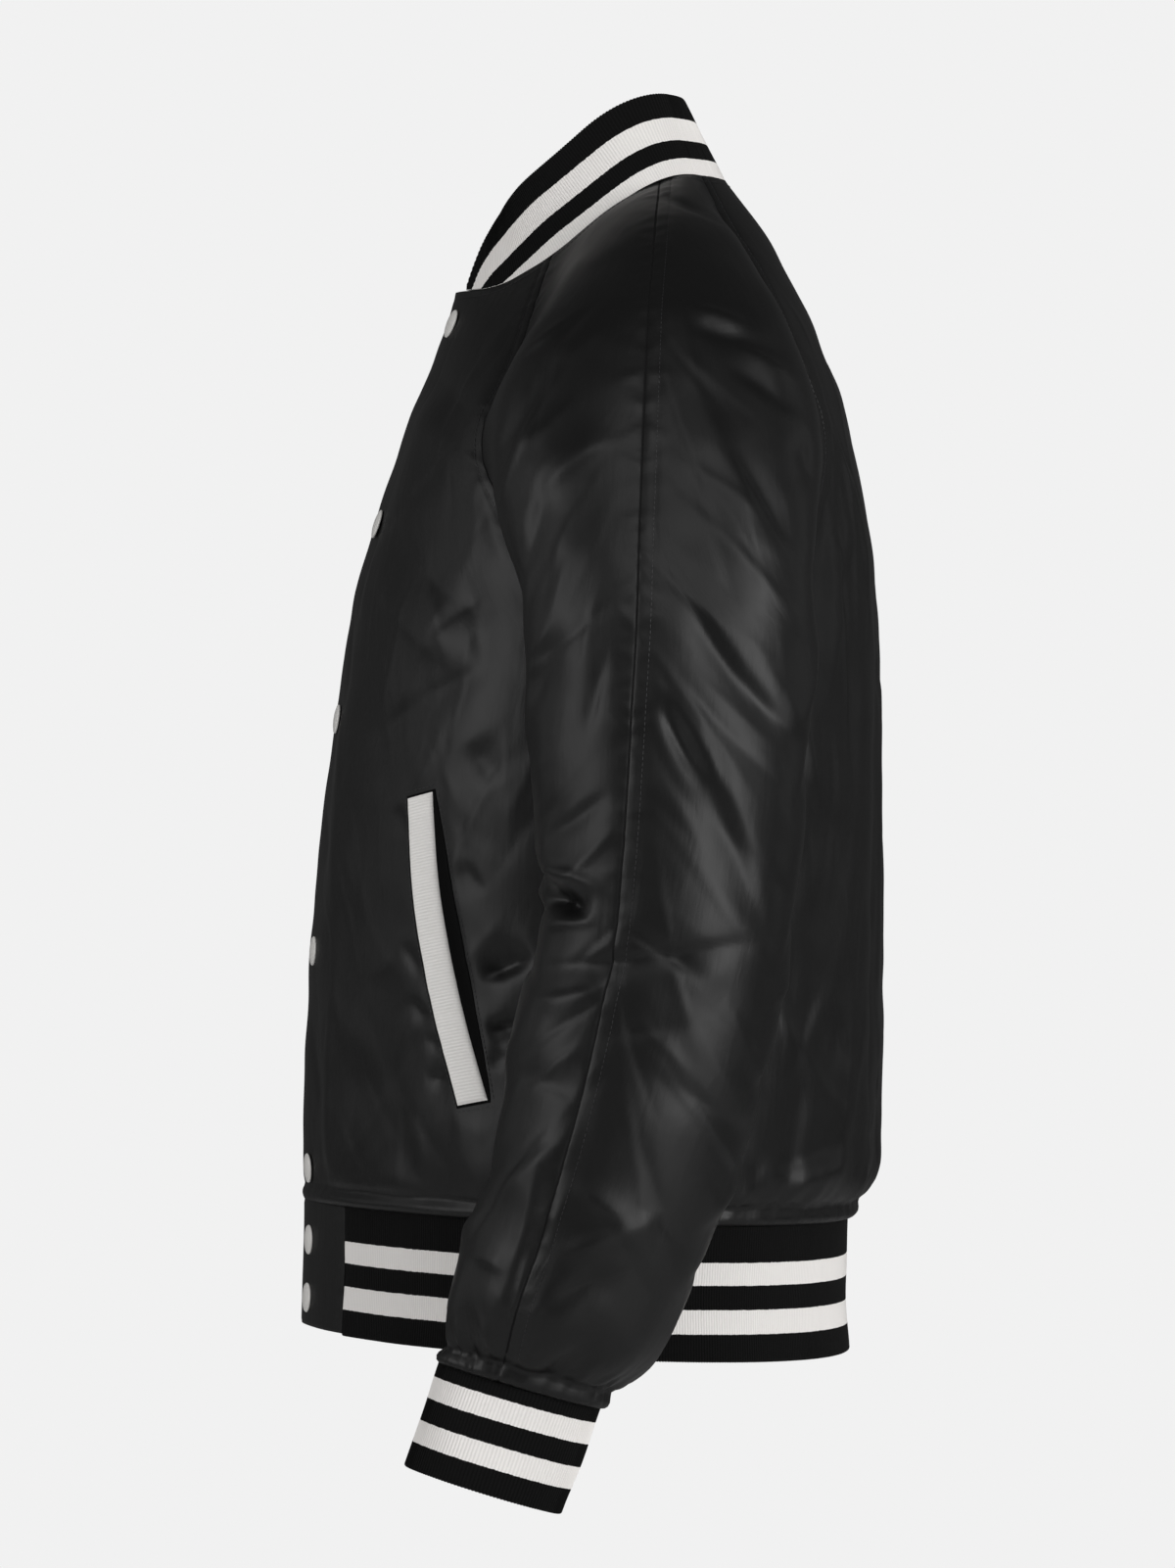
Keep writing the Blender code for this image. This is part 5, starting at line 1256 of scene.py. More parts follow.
def knit_finish(name, colour, sheen, furrow_shade):
    """Rib knit: each rib a column of small loops, with painted shade in the furrows between ribs.
    """
    made = Finish(name, colour, 0.95, Sheen_Weight=sheen, Sheen_Roughness=0.6,
                  Specular_IOR_Level=0.10)
    grain = made.noise("UV", (6.0, 1500, 1))
    split = made.add("ShaderNodeSeparateXYZ", Vector=made.place("UV"))
    turn = made.add("ShaderNodeMath", {"operation": "MULTIPLY"}, i0=split.outputs["X"],
                    i1=2 * math.pi)
    wave = made.add("ShaderNodeMath", {"operation": "COSINE"}, i0=turn.outputs[0])
    crest = made.add("ShaderNodeMapRange", Value=wave.outputs[0])
    crest.inputs["From Min"].default_value = -1.0
    crest.inputs["To Min"].default_value = 0.0
    soft = made.add("ShaderNodeMath", {"operation": "MULTIPLY_ADD"},
                    i0=grain, i1=0.3, i2=crest.outputs["Result"])
    # Painted shade: the colour darkens in the furrows between the ribs.
    made.tint(soft.outputs[0], furrow_shade)
    made.bump(grain, 0.00012)
    return made.material


def plain_finish(name, colour, roughness, scale, depth, **sockets):
    """A smooth finish with faint unevenness."""
    made = Finish(name, colour, roughness, **sockets)
    cloudy = made.noise(scale=scale)
    made.tint(cloudy, 0.93)
    made.links.new(made.between(cloudy, roughness - 0.04, roughness + 0.05),
                   made.shader.inputs["Roughness"])
    made.bump(cloudy, depth)
    return made.material


satin = satin_finish("black_satin", SATIN_COLOUR, SATIN_ROUGHNESS)
black_knit = knit_finish("black_rib_knit", BLACK_KNIT_COLOUR, 0.02, 0.45)
white_knit = knit_finish("off_white_rib_knit", WHITE_KNIT_COLOUR, 0.05, 0.86)
# A lighter copy of the white knit for the welts, painted light.
painted_lighter_welt_knit = knit_finish("off_white_welt_knit_painted_lighter", WELT_KNIT_PAINTED_LIGHTER_COLOUR, 0.05, 0.90)
enamel = plain_finish("off_white_enamel", ENAMEL_COLOUR, 0.36, 300, 0.00001, Coat_Weight=0.25,
                      Coat_Roughness=0.2)
thread = plain_finish("black_thread", THREAD_COLOUR, 0.5, 900, 0.00003)
# Partly painted shade: the pocket's matte black cloth also stands for the shadow in the mouth and
# in the gap round the welt.
pocket_cloth_and_gap_shade = plain_finish("black_pocket_cloth_and_painted_gap_shade", POCKET_AND_GAP_SHADE_COLOUR, 0.9, 900, 0.00005,
                            Specular_IOR_Level=0.1)
# Painted shade: a near-black matte finish on the cells right beside each seam stands in for the
# shadow in the seam's cleft.
seam_shade = plain_finish("shade_in_the_seam", SEAM_SHADE_COLOUR, 0.8, 900, 0.00002,
                          Specular_IOR_Level=0.20)
print("finishes:", [material.name for material in bpy.data.materials if material.users == 0])

# %% [markdown]
# ## From a grid to a piece of cloth
# Cloth has two faces and a thickness. The outer face is the fine grid. The inner face is
# seen only through the neck, the hem and the cuffs, so it takes every third row and column,
# and it keeps below the deepest crease near it, or it would show through. The two are
# closed round the edges, which makes one thin shell with nothing loose.

# %% Shells
CLOTH_THICKNESS, INNER_STEP, SHARP_ANGLE = 0.0013, 3, 62


def every(count, step):
    """Every step-th number below count, and always the last."""
    return np.unique(np.append(np.arange(0, count, step), count - 1))


def lowest_near(depths, reach):
    """The smallest value within reach rows and columns of each point."""
    padded = np.pad(depths, reach, mode="edge")
    rows, columns = depths.shape
    lowest = depths.copy()
    for i in range(2 * reach + 1):
        for j in range(2 * reach + 1):
            lowest = np.minimum(lowest, padded[i : i + rows, j : j + columns])
    return lowest


def to_object(name, points, faces, finishes, uv=None, slots=None):
    """A smooth-shaded object from points and faces, with UVs given for each point."""
    mesh = bpy.data.meshes.new(name)
    mesh.from_pydata(points.tolist(), [], faces)
    for finish in finishes:
        mesh.materials.append(finish)
    if slots is not None:
        mesh.polygons.foreach_set("material_index", np.asarray(slots, np.int32))
    if uv is not None:
        corner = np.zeros(len(mesh.loops), np.int32)
        mesh.loops.foreach_get("vertex_index", corner)
        mesh.uv_layers.new(name="UVMap").data.foreach_set("uv", uv[corner].ravel())
    mesh.update()
    mesh.shade_smooth()
    mesh.set_sharp_from_angle(angle=math.radians(SHARP_ANGLE))
    made = bpy.data.objects.new(name, mesh)
    bpy.context.scene.collection.objects.link(made)
    return made


def quads(index, flip=False):
    """Faces of a grid of point numbers."""
    a, b, c, d = index[:-1, :-1], index[1:, :-1], index[1:, 1:], index[:-1, 1:]
    faces = np.stack([a, b, c, d], axis=-1).reshape(-1, 4)
    return (faces[:, ::-1] if flip else faces).tolist()


def rim(outer_edge, inner_edge, stops, flip):
    """Faces that close an edge between its fine outer and its coarse inner points."""
    faces = []
    for k, (start, end) in enumerate(zip(stops[:-1], stops[1:])):
        fine = [int(v) for v in outer_edge[start : end + 1]]
        ring = [int(inner_edge[k + 1]), int(inner_edge[k])] + fine
        faces.append(ring[::-1] if flip else ring)
    return faces


def shell(name, base, lean, depths, finishes, seam_shade_sides=(), thickness=CLOTH_THICKNESS,
          step=INNER_STEP):
    """A closed thin piece of cloth whose outer face is the grid moved out by the depths."""
    outer = base + lean * depths[..., None]
    i, j = every(base.shape[0], step), every(base.shape[1], step)
    deep = lowest_near(depths, step)[np.ix_(i, j)] - thickness
    inner = base[np.ix_(i, j)] + lean[np.ix_(i, j)] * deep[..., None]
    rows, columns = outer.shape[:2]
    out_index = np.arange(rows * columns).reshape(rows, columns)
    in_index = rows * columns + np.arange(inner.shape[0] * inner.shape[1]).reshape(inner.shape[:2])
    faces = quads(out_index)
    slots = np.zeros((rows - 1, columns - 1), int)
    # The cells beside these sides take the second finish, the painted seam shade.
    for side in seam_shade_sides:
        slots[:-ROLL_ROWS, side] = 1
    faces += quads(in_index, flip=True)
    faces += rim(out_index[:, 0], in_index[:, 0], i, True)
    faces += rim(out_index[:, -1], in_index[:, -1], i, False)
    faces += rim(out_index[0], in_index[0], j, False)
    faces += rim(out_index[-1], in_index[-1], j, True)
    run, down = along_rows(base), gaps_from_top(base)
    uv = np.stack([run, down], axis=-1)
    points = np.vstack([outer.reshape(-1, 3), inner.reshape(-1, 3)])
    uv = np.vstack([uv.reshape(-1, 2), uv[np.ix_(i, j)].reshape(-1, 2)])
    slots = np.concatenate([slots.ravel(), np.zeros(len(faces) - slots.size, int)])
    return to_object(name, points, faces, finishes, uv, slots)


def flat_size(grid, wrap=False):
    """Greatest width and length of a grid laid flat, and its area."""
    width = gaps_from(grid, FIRST)[:, -1].max()
    length = gaps_from_top(grid)[-1].max()
    a, b = np.diff(grid, axis=0)[:, :-1], np.diff(grid, axis=1)[:-1]
    area = np.linalg.norm(np.cross(a, b), axis=-1).sum()
    if wrap:
        width += np.linalg.norm(grid[:, 0] - grid[:, -1], axis=-1).max()
    return round(float(width), 4), round(float(length), 4), round(float(area), 5)


# %% [markdown]
# ## The satin panels
# Each panel becomes one piece and stands for its solid. The size it was cut to is measured
# on its plain form, before the creases: greatest width, greatest length, and true area.

# %% Make the satin panels
def attach(piece):
    """Says what a piece rides on: the frame's root."""
    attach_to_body(piece, "root")


def tell(piece, node, size=None):
    """Hangs a piece on the frame's root and hides the solid it stands for; its size is not used.
    """
    attach(piece)
    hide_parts(node)


# The sides of each panel whose cells beside the seam are painted with seam shade.
SEAM_SHADE_SIDES = {"front_left": (LAST,), "front_right": (FIRST,)}
panels = {}
for name in bare:
    seam_shade_sides = SEAM_SHADE_SIDES.get(name, (FIRST, LAST))
    panels[name] = shell(f"cloth_{name}", bare[name], normals[name], relief[name],
                         [satin, seam_shade], seam_shade_sides)

# %% [markdown]
# ## Ribbed bands
# Rib knit has columns of raised stitches with furrows between them. A bump map would look
# right from the front, but the edge of a hem shows the ribs in its outline, so they are real
# geometry here: four points round each rib. The band is folded over at its free edge, so
# the surface runs down the outside, round the fold and up the inside. The stripes are rows
# of the same knit in another yarn, and their edges step up and down by half a stitch.

# %% Ribbed band tool
RIB_PITCH, RIB_DEPTH, POINTS_A_RIB, RIB_THICKNESS = 0.0017, 0.00022, 4, 0.0030
ROWS_A_BAND, FOLD_ROWS, STRIPE_STEP = 4, 4, 0.00022
INSIDE_SHARES = (1.0, 0.66, 0.33, 0.0)
STRIPES = (0, 1, 0, 1, 0)
STEP_SHARE, SWELL_CHANGE, FOLD_FLATNESS = 0.6, 0.15, 0.8


def rib_columns(length):
    """The number of columns that a whole number of ribs takes over a length."""
    return int(round(length / RIB_PITCH)) * POINTS_A_RIB


def band_shares(bands):
    """Shares of the height at which the rows of a band lie, and each row's stripe."""
    edges = np.concatenate([[0.0], np.cumsum(bands)]) / sum(bands)
    shares = [np.linspace(*pair, ROWS_A_BAND + 1)[:-1] for pair in zip(edges, edges[1:])]
    return np.append(np.concatenate(shares), 1.0)


def ribbed(name, surface, lean, phase, seed, fold_last, wrap):
    """A folded rib band over a smooth surface whose rows run from its top to its bottom."""
    chance = np.random.default_rng(seed)
    rows, columns = surface.shape[:2]
    crest = np.cos(phase)
    ribs = (phase / (2 * math.pi)).astype(int)
    step = chance.uniform(-1, 1, ribs.max() + 2)[ribs] * STEP_SHARE + (1 - STEP_SHARE) * crest
    change = SWELL_CHANGE * chance.uniform(-1, 1, ribs.max() + 2)[ribs]
    swell = RIB_DEPTH * crest * (1 + change)
    outer = surface + lean * swell[None, :, None]
    down = unit(np.gradient(surface, axis=0))
    for row in range(ROWS_A_BAND, rows - 1, ROWS_A_BAND):
        outer[row] += down[row] * (step * STRIPE_STEP)[:, None]
    fold = rows - 1 if fold_last else 0
    beyond = down[fold] if fold_last else -down[fold]
    centre = surface[fold] - lean[fold] * RIB_THICKNESS / 2
    turned = []
    for k in range(1, FOLD_ROWS + 1):
        angle = math.pi * k / (FOLD_ROWS + 1)
        radius = RIB_THICKNESS / 2 + swell[:, None]
        turned.append(centre + lean[fold] * radius * math.cos(angle)
                      + beyond * radius * FOLD_FLATNESS * math.sin(angle))
    inside = []
    for share in INSIDE_SHARES:
        row = int(round((share if fold_last else 1 - share) * (rows - 1)))
        inside.append(surface[row] - lean[row] * (RIB_THICKNESS + swell[:, None]))
    outside = list(outer) if fold_last else list(outer[::-1])
    points = np.array(outside + turned + inside)
    index = np.arange(points.shape[0] * columns).reshape(points.shape[:2])
    index = np.vstack([index, index[:1]])
    if wrap:
        index = np.hstack([index, index[:, :1]])
    faces = quads(index, flip=not fold_last)
    stripe = [STRIPES[min(row // ROWS_A_BAND, len(STRIPES) - 1)] for row in range(rows - 1)]
    if not fold_last:
        stripe = stripe[::-1]
    stripe = stripe + [0] * (len(index) - rows)
    slots = np.repeat(stripe, index.shape[1] - 1)
    if not wrap:
        ends = [index[:-1, 0].tolist(), index[:-1, -1].tolist()[::-1]]
        ends = ends if not fold_last else [ring[::-1] for ring in ends]
        for ring in ends:
            half = len(ring) // 2
            for k in range(half - 1):
                faces.append([ring[k], ring[k + 1], ring[-2 - k], ring[-1 - k]])
        slots = np.append(slots, [0] * (len(faces) - len(slots)))
    height = gaps_from_top(points)
    uv = np.stack([np.broadcast_to(phase / (2 * math.pi), height.shape), height], axis=-1)
    knit = [black_knit, white_knit]
    return to_object(name, points.reshape(-1, 3), faces, knit, uv.reshape(-1, 2), slots)


# %% [markdown]
# The waistband runs from one satin tab round the back to the other. It bulges a little
# between the gathers, which the soft field of unevenness gives.

# %% Waistband
BAND_LUMP, BAND_LONGEST, BAND_SHORTEST = 0.0007, 0.11, 0.035


def hem_ring(share):
    """Ring of the hem rib at a share of its height."""
    ring = HEM.at(share)
    ring.front_half = ring.back_half = ring.half
    ring.front_round, ring.back_round = BODY.at(1).front_round, BODY.at(1).back_round
    return ring


def waistband_surface():
    """The smooth waistband from the left tab round the back to the right tab."""
    _, arcs = half_ring(hem_ring(0))
    columns = rib_columns(2 * (arcs[-1] - TAB_ARC))
    shares = np.linspace(-1, 1, columns + 1)
    grid = []
    for share in band_shares(HEM_BANDS):
        line, arcs = half_ring(hem_ring(share))
        places = arcs[-1] - (arcs[-1] - TAB_ARC) * np.abs(shares)
        row = along(line, arcs, places)
        row[:, 0] *= -np.sign(shares)
        grid.append(row)
    return np.array(grid), np.arange(columns + 1) * 2 * math.pi / POINTS_A_RIB


band, phase = waistband_surface()
lean = grid_normals(band)
band = band + lean * (BAND_LUMP * uneven(band, 91, BAND_LONGEST, BAND_SHORTEST))[..., None]
waistband = ribbed("rib_waistband", band, lean, phase, 92, True, False)
tell(waistband, "hem_rib", flat_size(band))
print("ribs round the waistband:", len(phase) // POINTS_A_RIB)

# %% [markdown]
# A cuff is the same knit as a closed tube. It is narrower than the sleeve, so it grips the
# wrist, and the sleeve's cloth is pushed up into gathers above it.

# %% Cuffs
CUFF_SEAM_TURN = 195.0


def cuff_surface():
    """The smooth left cuff, one column short of a full turn."""
    part = CUFF.at(0)
    columns = rib_columns(math.pi * (part.half_width + part.half_depth))
    turns = CUFF_SEAM_TURN + np.arange(columns) * 360 / columns
    grid = [around(CUFF.at(share), turns) for share in band_shares(CUFF_BANDS)]
    return np.array(grid), np.arange(columns) * 2 * math.pi / POINTS_A_RIB


tube, cuff_phase = cuff_surface()
for side_name, seed in (("left", 94), ("right", 95)):
    grid = tube if side_name == "left" else swung(mirrored(tube))
    lean = grid_normals(grid, wrap=True)
    lumps = uneven(grid, 93, BAND_LONGEST, BAND_SHORTEST)
    grid = grid + lean * (BAND_LUMP * lumps)[..., None]
    cuff = ribbed(f"rib_cuff_{side_name}", grid, lean, cuff_phase, seed, True, True)
    tell(cuff, f"cuff_{side_name}", flat_size(grid, wrap=True))

# %% [markdown]
# The collar stands on the neck seam and leans inwards. It is cut with tapering ends, so its
# stripes run out into the seam one after the other near the closure.

# %% Collar
COLLAR_AHEAD, LEAST_ROW, COLLAR_LUMP_SHARE = 0.001, 0.00004, 0.6


def collar_surface():
    """The smooth collar from its left end round the neck to its right end, and its arcs."""
    line, arcs = half_ring(body_ring(0))
    columns = rib_columns(arcs[-1] - COLLAR_END_ARC)
    places = np.linspace(COLLAR_END_ARC, arcs[-1], columns + 1)
    seam = along(line, arcs, places)
    ahead = along(line, arcs, np.minimum(places + COLLAR_AHEAD, arcs[-1]))
    run = unit(ahead - along(line, arcs, places - COLLAR_AHEAD))
    level_run = unit(run * np.array([1.0, 1.0, 0.0]))
    outward = np.stack([level_run[:, 1], -level_run[:, 0], np.zeros(columns + 1)], axis=1)
    whole_depth = sum(COLLAR_BANDS)
    shares = band_shares((*COLLAR_BANDS, LEAST_ROW))[:-ROWS_A_BAND]
    grid = np.zeros((len(shares), columns + 1, 3))
    for column, place in enumerate(places):
        shape = COLLAR.at(place)
        lean = math.radians(shape.lean)
        rise = np.array([0.0, 0.0, math.cos(lean)]) - outward[column] * math.sin(lean)
        rise = unit(rise - run[column] * (rise @ run[column]))
        spare = (len(shares) - 1 - np.arange(len(shares))) * LEAST_ROW
        depth = np.minimum(shares * whole_depth, shape.height - spare)
        depth[-1] = shape.height
        grid[:, column] = seam[column] + rise * (shape.height - depth)[:, None]
    whole = np.concatenate([grid, grid[:, ::-1][:, 1:] * np.array([-1.0, 1.0, 1.0])], axis=1)
    both = np.concatenate([places, -places[::-1][1:]])
    return whole, both, np.arange(len(both)) * 2 * math.pi / POINTS_A_RIB


stand, collar_arcs, collar_phase = collar_surface()
lean = np.repeat(grid_normals(stand[::ROWS_A_BAND]), ROWS_A_BAND, axis=0)[: len(stand)]
lean = unit(np.tile(lean.mean(axis=0, keepdims=True), (len(stand), 1, 1)))
over = lap_offset(collar_arcs) * (collar_arcs > 0)
lumps = BAND_LUMP * COLLAR_LUMP_SHARE * uneven(stand, 96, BAND_LONGEST, BAND_SHORTEST)
stand = stand + lean * (over[None, :] + lumps)[..., None]
collar = ribbed("rib_collar", stand, lean, collar_phase, 97, False, False)
tell(collar, "collar", flat_size(stand))

# %% [markdown]
# ## Satin tabs at the ends of the waistband
# The knit stops short of the closure, where two satin tabs carry the lowest snaps. They are
# plain folded cloth, stitched round their edges.

# %% Tabs
TAB_ROWS, TAB_COLUMNS, TAB_STITCH, TAB_LUMP_SHARE = 34, 44, 0.0045, 0.7
TAB_PUCKER_SPACING, TAB_PUCKER_DEPTH, TAB_PUCKER_REACH = 0.009, 0.0004, 0.008


def tab_surface(edge_arc, offset):
    """A tab's plain form, and how far its lap moves each point."""
    row = spaced(edge_arc, TAB_ARC, TAB_COLUMNS)
    grid = [along(*half_ring(hem_ring(share)), row) for share in spaced(0, 1, TAB_ROWS)]
    return np.array(grid), offset(np.tile(row, (len(grid), 1)))


for side_name, edge_arc, offset in (
    ("left", LEFT_EDGE_ARC, lap_offset),
    ("right", RIGHT_EDGE_ARC, underlap_offset),
):
    grid, out = tab_surface(edge_arc, offset)
    lean = grid_normals(grid)
    down, side_gap = gaps_from_top(grid), gaps_from(grid, FIRST)
    foot, seam = down[-1:] - down, gaps_from(grid, LAST)
    edge = np.minimum(np.minimum(side_gap, foot), np.minimum(seam, down))
    out = out + LUMP * TAB_LUMP_SHARE * uneven(grid, 98, LUMP_LONGEST, LUMP_SHORTEST)
    out = out - stitch_dip(edge, TAB_STITCH) - EDGE_DROP * np.exp(-edge / TAB_DROP_WIDTH)
    out = out + puckers(99, down[:, 0], seam, TAB_PUCKER_SPACING, TAB_PUCKER_DEPTH,
                        TAB_PUCKER_REACH)
    if side_name == "right":
        grid, lean, out = mirrored(grid), mirrored(lean), out[:, ::-1]
    tab = shell(f"cloth_tab_{side_name}", grid, lean, out, [satin])
    tell(tab, f"hem_tab_{side_name}", flat_size(grid))

# %% [markdown]
# ## Laying things on a panel
# Welts, stitches and snaps have to lie on the creased cloth, not on its plain form. A point
# on a panel is found by its level and its arc, and then lifted off along the cloth's normal.

# %% Points on the finished cloth
def cloth_at(grid, levels, arcs, level, places):
    """Points of a finished panel at one level and several arcs, and their normals."""
    row = float(np.interp(level, levels, np.arange(len(levels))))
    upper = min(int(row), len(levels) - 2)
    share = row - upper
    high = along(grid[upper], arcs[upper], places)
    low = along(grid[upper + 1], arcs[upper + 1], places)
    points = high * (1 - share) + low * share
    lean = unit(np.cross(low - high, np.gradient(points, axis=0)))
    return points, lean


FINE_LEVELS = np.linspace(0, 10, 401)
FRONT_HEIGHTS = np.array([body_ring(level).front_z for level in FINE_LEVELS])


def level_at_front_z(z):
    """The body level whose centre front lies at this height."""
    return float(np.interp(-z, -FRONT_HEIGHTS, FINE_LEVELS))


# %% [markdown]
# ## Pocket welts and the pockets' mouths
# The welt is a strip of off-white rib that edges the slanted pocket mouth. Its ribs run
# across the strip. It is crowned like a flattened cord, and its back lies on the front.
# Behind it the mouth gapes a little and shows the matte black cloth of the pocket, widest
# halfway down. That cloth is a thin strip in the hollow which the front has there, partly the
# pocket's own black cloth and partly painted shade of the gaping mouth, and it borders the welt
# with a narrow dark edge, which is painted shade of the gap round the welt.

# %% Pocket welts and mouths
WELT_RIB_PITCH, WELT_RIB_DEPTH, WELT_COLUMNS, WELT_CROWN_POWER = 0.0018, 0.00015, 14, 4
WELT_LIFT, WELT_EDGE, WELT_END_DROP, END_DROP_SHARE = 0.0007, 0.0003, 0.6, 0.006
WELT_SQUARE, WELT_BACK_STEP = 0.20, 12
# The dark border round the welt is painted shade of the gap between the welt and the front.
SHADE_BORDER, SHADE_BORDER_SHARE = 0.0012, 0.009
MOUTH_ROWS, MOUTH_COLUMNS, MOUTH_LIFT, MOUTH_THICKNESS = 90, 16, 0.0005, 0.0005
MOUTH_GAPE, MOUTH_POWER, MOUTH_STEP = 0.0078, 0.8, 2
FLIP = np.array([-1.0, 1.0, 1.0])
welt_length = float(np.hypot(WELT_FOOT_Z - WELT_TOP_Z, WELT_FOOT_ARC - WELT_TOP_ARC))


def own_front(side):
    """The finished cloth of one front and its arcs, the right one mirrored to the left."""
    if side > 0:
        return cloth["front_left"], left_arcs
    return cloth["front_right"][:, ::-1] * FLIP, right_arcs


def beside_welt(side, shares, widths):
    """Points on one front at widths from the welt's middle line, and their normals.

    The rows are square to the welt: they rise towards the pocket's side.
    """
    front, arcs = own_front(side)
    points, leans = [], []
    for share, width in zip(shares, widths):
        line, lean = [], []
        for place in width:
            z = WELT_TOP_Z + (WELT_FOOT_Z - WELT_TOP_Z) * share + WELT_SQUARE * place
            arc = welt_middle(min(max(share, 0), 1)) + place + np.array([0.0, 0.001])
            spot, out = cloth_at(front, body_levels, arcs, level_at_front_z(z), arc)
            line.append(spot[0])
            lean.append(out[0])
        points.append(line)
        leans.append(lean)
    return np.array(points), np.array(leans)


def welt_strip(side, lifts, widths, shares):
    """Points over one front along the welt, lifted off the cloth."""
    points, leans = beside_welt(side, shares, [widths] * len(shares))
    return points + unit(leans.mean(axis=1))[:, None, :] * lifts[:, None]


ribs = int(welt_length / WELT_RIB_PITCH)
shares = np.linspace(0, 1, ribs * POINTS_A_RIB + 1)
across = np.linspace(-1, 1, WELT_COLUMNS + 1)
crown = (1 - np.abs(across) ** WELT_CROWN_POWER) ** 0.5
ribbing = WELT_RIB_DEPTH * np.cos(np.arange(len(shares)) * 2 * math.pi / POINTS_A_RIB)
end_drop = WELT_END_DROP * WELT_THICK * np.exp(-np.minimum(shares, 1 - shares) / END_DROP_SHARE)
back_rows = every(len(shares), WELT_BACK_STEP)


def welt_piece(side):
    """A closed welt from its ribbed face and its flat back, and the size of its face."""
    lifts = WELT_LIFT + WELT_EDGE + (WELT_THICK - WELT_EDGE) * crown
    face_points = welt_strip(side, lifts, across * WELT_WIDTH / 2, shares)
    rise = (ribbing - end_drop)[:, None] * crown[None, :]
    face_points = face_points + grid_normals(face_points) * rise[..., None]
    back_points = welt_strip(side, np.full(3, WELT_LIFT), np.array([-0.5, 0, 0.5]) * WELT_WIDTH,
                             shares[back_rows])
    rows, columns = face_points.shape[:2]
    face = np.arange(rows * columns).reshape(rows, columns)
    back = rows * columns + np.arange(back_points.shape[0] * 3).reshape(back_points.shape[:2])
    faces = quads(face) + quads(back, flip=True)
    across_stops = np.array([0, WELT_COLUMNS // 2, WELT_COLUMNS])
    faces += rim(face[:, 0], back[:, 0], back_rows, True)
    faces += rim(face[:, -1], back[:, -1], back_rows, False)
    faces += rim(face[0], back[0], across_stops, False)
    faces += rim(face[-1], back[-1], across_stops, True)
    points = np.vstack([face_points.reshape(-1, 3), back_points.reshape(-1, 3)])
    if side < 0:
        points = points * FLIP
        faces = [ring[::-1] for ring in faces]
    turns = np.arange(rows) / POINTS_A_RIB
    uv = np.stack([np.repeat(turns, columns), np.tile(across * WELT_WIDTH / 2, rows)], axis=-1)
    uv = np.vstack([uv, np.zeros((back_points.shape[0] * 3, 2))])
    name = f"rib_welt_{'left' if side > 0 else 'right'}"
    return to_object(name, points, faces, [painted_lighter_welt_knit], uv), flat_size(face_points)


def mouth_piece(name, side):
    """The strip in the mouth that borders the welt: pocket cloth and painted shade of the gap."""
    shares = np.linspace(-SHADE_BORDER_SHARE, 1 + SHADE_BORDER_SHARE, MOUTH_ROWS + 1)
    across = np.linspace(0, 1, MOUTH_COLUMNS + 1)
    gape = SHADE_BORDER + MOUTH_GAPE * np.sin(math.pi * np.clip(shares, 0, 1)) ** MOUTH_POWER
    whole = WELT_WIDTH + SHADE_BORDER + gape
    widths = -WELT_WIDTH / 2 - SHADE_BORDER + across[None, :] * whole[:, None]
    points, _ = beside_welt(side, shares, widths)
    if side < 0:
        points = (points * FLIP)[:, ::-1]
    depths = np.full(points.shape[:2], MOUTH_LIFT)
    piece = shell(name, points, grid_normals(points), depths, [pocket_cloth_and_gap_shade],
                  thickness=MOUTH_THICKNESS, step=MOUTH_STEP)
    attach(piece)
    return piece


for side_name, side in (("left", 1), ("right", -1)):
    welt, welt_size = welt_piece(side)
    tell(welt, f"welt_{side_name}", welt_size)
    mouth_piece(f"pocket_mouth_{side_name}", side)
print("welt length, mm:", round(welt_length * 1000))

# %% [markdown]
# ## Stitches
# A row of topstitching is what tells a sewn panel from a moulded one. Each stitch is a short
# rounded piece of thread that lies in its dip, and all the stitches of a panel are one mesh.

# %% Stitch tool
STITCH_PITCH, STITCH_LENGTH, THREAD_RADIUS, STITCH_SIDES = 0.0032, 0.0024, 0.00022, 5
STITCH_PROFILE = ((-0.5, 0.0), (-0.36, 0.85), (0.0, 1.0), (0.36, 0.85), (0.5, 0.0))
STITCH_INSIDE, STITCH_OUTSIDE, STITCH_END_SHARE = 0.0012, 0.0022, 0.022
STITCH_ACROSS, WELT_PATH_POINTS, ACROSS_POINTS = (-0.012, 0.014), 60, 12


def stitch_points(path, lean):
    """Middles, directions and normals of the stitches along a path on the cloth."""
    arcs = arcs_of(path)
    places = np.arange(STITCH_PITCH / 2, arcs[-1], STITCH_PITCH)
    middle = along(path, arcs, places)
    way = unit(along(path, arcs, places + 0.001) - along(path, arcs, places - 0.001))
    out = unit(along(lean, arcs, places))
    return middle, way, out


